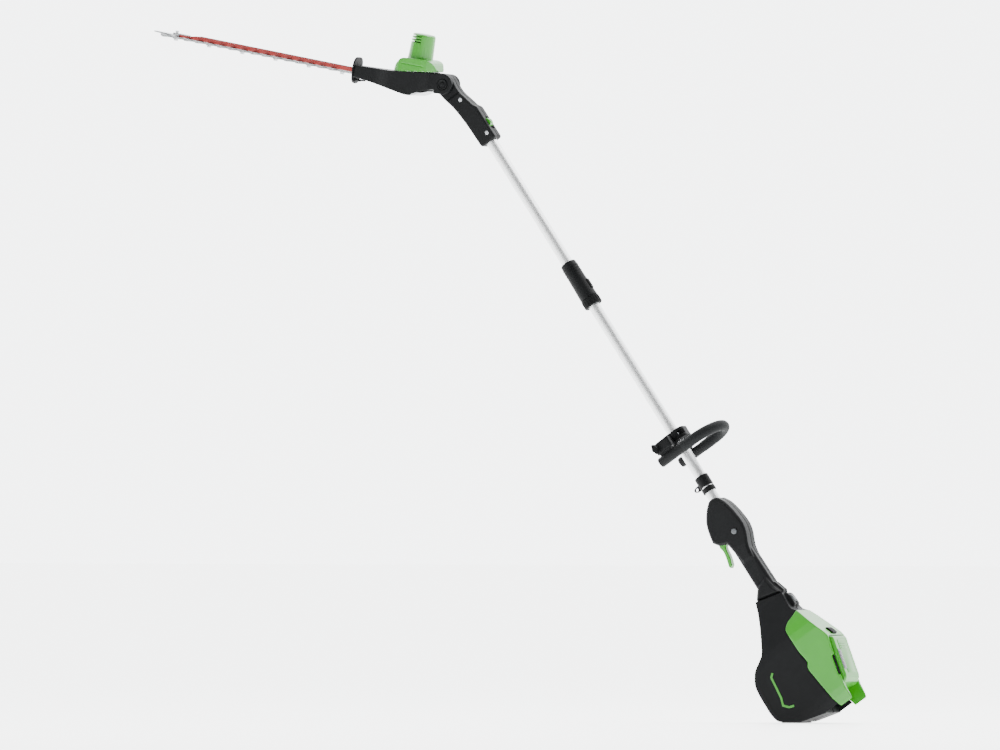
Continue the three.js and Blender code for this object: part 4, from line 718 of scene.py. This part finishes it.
# ---------------------------------------------------------------- trigger and buttons
# The speed trigger in green ABS on a blacked steel pin, the lock-off button at the left of the pod,
# and the power button on the boss ahead of the cover, both in grey acetal with a fine matt skin.
moulded("trigger", 0.0006, 6, abs_green)
blacked = grained("black_oxide_steel", "#0d0e0f", "#151618", 0.42, 0.55, 0.6, 0.1, IOR=1.5,
                  Specular_IOR_Level=0.2)
finish_node("trigger_pin", blacked)
finish_node("trigger_switch", nylon)
acetal = grained("grey_acetal", "#45484b", "#505356", 0.36, 0.5, 1.0, 0.12, IOR=1.48)
for name in ("lock_off_button", "power_button"):
    moulded(name, 0.0005, 4, acetal)

low, high = reach("power_button", REAR)
middle = (low + high) / 2
on_top = REAR @ Matrix.Translation((middle.x, 0, high.z)) @ Matrix.Rotation(-math.pi / 2, 4, "Y")
shape = lathe([(-0.0012, 0.0088), (0.0001, 0.0088), (0.0006, 0.0093), (0.0006, 0.0102), (0.0001, 0.0107),
               (-0.0012, 0.0107)])
ring_place = on_top @ Matrix.Translation((-0.0017, 0, 0))
piece_of("power_button_bezel", *shape, ring_place, "rear_assembly", acetal, "grey_plastic")

# ---------------------------------------------------------------- battery housing
# Two big nylon shells that meet on the centre line and hold the pack's bay, the board and the foot.
# Cooling slots are cut across the throat with short ribs over them, and a green ABS strip is pressed
# into each flank.
for name in ("housing_left", "housing_right"):
    moulded(name, 0.0014, 8, nylon)

HOUSING_SCREW_R = 0.0042
flank = reach("housing_right", REAR)[1].y
housing_screws = ((0.330, -0.040), (0.360, 0.004), (0.408, -0.098), (0.446, -0.026), (0.520, -0.130),
                  (0.578, -0.060))
for k, (x, z) in enumerate(housing_screws):
    inset = 0.0 if x > 0.39 else 0.0108 * (0.39 - x) / 0.04
    screw(f"housing_screw_{k + 1}", (x, flank - 0.0004 - inset, z), HOUSING_SCREW_R)

RIB_PITCH, RIB_SLOPE = 0.009, -0.435
for k in range(7):
    x = 0.3015 + RIB_PITCH * k
    shape = pebble(-0.0013, 0.0013, -0.023, 0.023, -0.002, 0.0013, 0.0006)
    foot_of_rib = (x, 0, -0.0542 + RIB_SLOPE * (x - 0.306))
    under = REAR @ Matrix.Translation(foot_of_rib) @ Matrix.Rotation(math.pi, 4, "X")
    piece_of(f"housing_rib_{k + 1}", *shape, under, "rear_assembly", nylon, "black_plastic")

STRIP_WIDTH = 0.0052
STRIP_PROUD = 0.0007
strip_line = [(0.439, -0.092), (0.446, -0.1005), (0.500, -0.1065), (0.5185, -0.1125), (0.5305, -0.102),
              (0.5345, -0.089)]


def strip(line, width, y0, y1):
    """A flat band of one width along a line in the rear frame's side view, with square ends."""
    left, right = [], []
    half = width / 2
    for i, (x, z) in enumerate(line):
        a, b = line[max(i - 1, 0)], line[min(i + 1, len(line) - 1)]
        before = Vector((x - a[0], z - a[1])).normalized() if i else None
        after = Vector((b[0] - x, b[1] - z)).normalized() if i < len(line) - 1 else None
        way = (before or after).copy() if not (before and after) else (before + after).normalized()
        stretch = 1 / max(0.5, way.dot(before or after))
        left.append((x - way.y * half * stretch, z + way.x * half * stretch))
        right.append((x + way.y * half * stretch, z - way.x * half * stretch))
    rim = left + right[::-1]
    count = len(rim)
    vertices = [(x, y0, z) for x, z in rim] + [(x, y1, z) for x, z in rim]
    faces = [(i, (i + 1) % count, count + (i + 1) % count, count + i) for i in range(count)]
    half_count = count // 2
    for i in range(half_count - 1):
        a, b, c, d = i, i + 1, count - 2 - i, count - 1 - i
        faces.append((count + a, count + b, count + c, count + d))
        faces.append((d, c, b, a))
    return vertices, faces


for name, way in (("left", -1), ("right", 1)):
    shape = strip(strip_line, STRIP_WIDTH, way * (flank - 0.002), way * (flank + STRIP_PROUD))
    band = piece_of(f"flank_strip_{name}", *shape, REAR, "rear_assembly", abs_green, "green_plastic", 50)
    edge = band.modifiers.new("edge", "BEVEL")
    edge.width = 0.0004
    edge.segments = 2
    edge.limit_method = "ANGLE"

# ---------------------------------------------------------------- top cover
# The green ABS cover over the pack's bay and the housing's shoulder, screwed down from below. It
# wears the same soft gloss as the motor's cap.
moulded("top_cover", 0.0013, 7, abs_green)

# ---------------------------------------------------------------- battery pack
# A slide-in pack: a green ABS case with a raised panel and three thumb ribs on top, and a charge
# gauge of four small windows and a button near its left edge.
moulded("battery_pack", 0.0012, 6, abs_green)
slide = Vector(joint["battery_slide"]["axis"]).normalized()
PACK = axes(pole_start, slide)
low, high = reach("battery_pack", PACK)
PACK = PACK @ Matrix.Translation((low.x, 0, high.z))
pack_length, pack_half = high.x - low.x, high.y

gauge_black = grained("satin_polycarbonate_window", "#2b2e31", "#34373a", 0.22, 0.32, 1.0, 0.04, IOR=1.58)
gauge_y0, gauge_y1 = -pack_half + 0.0065, -pack_half + 0.0185
BEZEL = 0.003
shape = pebble(0.036, 0.086, gauge_y0 - BEZEL, gauge_y1 + BEZEL, -0.002, 0.0009, 0.0007)
piece_of("gauge_panel", *shape, PACK, "battery", acetal, "grey_plastic")
for k in range(4):
    at = 0.040 + 0.0086 * k
    shape = pebble(at, at + 0.0062, gauge_y0, gauge_y1, 0, 0.0015, 0.0006)
    piece_of(f"gauge_window_{k + 1}", *shape, PACK, "battery", gauge_black, "black_plastic")
shape = pebble(0.0755, 0.0825, gauge_y0, gauge_y1, 0, 0.0017, 0.0007)
piece_of("gauge_button", *shape, PACK, "battery", gauge_black, "black_plastic")

shape = pebble(0.012, pack_length - 0.026, -0.022, 0.022, -0.001, 0.0009, 0.0008)
piece_of("pack_top_panel", *shape, PACK, "battery", abs_green, "green_plastic")
for k in range(3):
    at = 0.020 + 0.006 * k
    shape = pebble(at, at + 0.0026, -0.016, 0.016, 0, 0.0018, 0.0008)
    piece_of(f"pack_thumb_rib_{k + 1}", *shape, PACK, "battery", abs_green, "green_plastic")

# the finger slot between pack and cover is lined by the black housing
slot_floor = pebble(0.047, 0.095, -pack_half - 0.0068, -pack_half - 0.0012, -0.030, -0.010, 0.0008)
piece_of("finger_slot_liner", *slot_floor, PACK, "rear_assembly", nylon, "black_plastic")

# ---------------------------------------------------------------- pack catch
# The catch in front of the pack: a nylon key with a ribbed top that is pressed to free the pack.
moulded("pack_latch", 0.0005, 4, nylon)
low, high = reach("pack_latch", REAR)
for k in range(3):
    at = low.x + 0.006 + 0.0042 * k
    rise = high.z - 0.0053 + (at - low.x - 0.003) * 0.367
    shape = pebble(at, at + 0.0014, -0.010, 0.010, rise - 0.001, rise + 0.0012, 0.0005)
    piece_of(f"catch_rib_{k + 1}", *shape, REAR, "battery_catch", nylon, "black_plastic")

# ---------------------------------------------------------------- foot
# A rubber pad let into the housing's lowest edge, where the tool stands, with three shallow grooves.
# The board and terminals stay inside.
rubber = grained("moulded_black_rubber", "#131314", "#1c1c1d", 0.72, 0.9, 1.6, 0.35, IOR=1.52)
moulded("foot_pad", 0.0007, 4, rubber)
solder_mask, tree, surface, place = begin("green_solder_mask", Roughness=0.35, IOR=1.5)
tracks = node(tree, "ShaderNodeTexBrick", {"Vector": place, "Scale": 90.0, "Color1": linear("#1d5a34"),
              "Color2": linear("#24683d"), "Mortar": linear("#3b8f57"), "Mortar Size": 0.03})
tree.links.new(tracks.outputs["Color"], surface.inputs["Base Color"])
finish_node("controller_board", solder_mask)
finish_node("terminal_block", nylon)
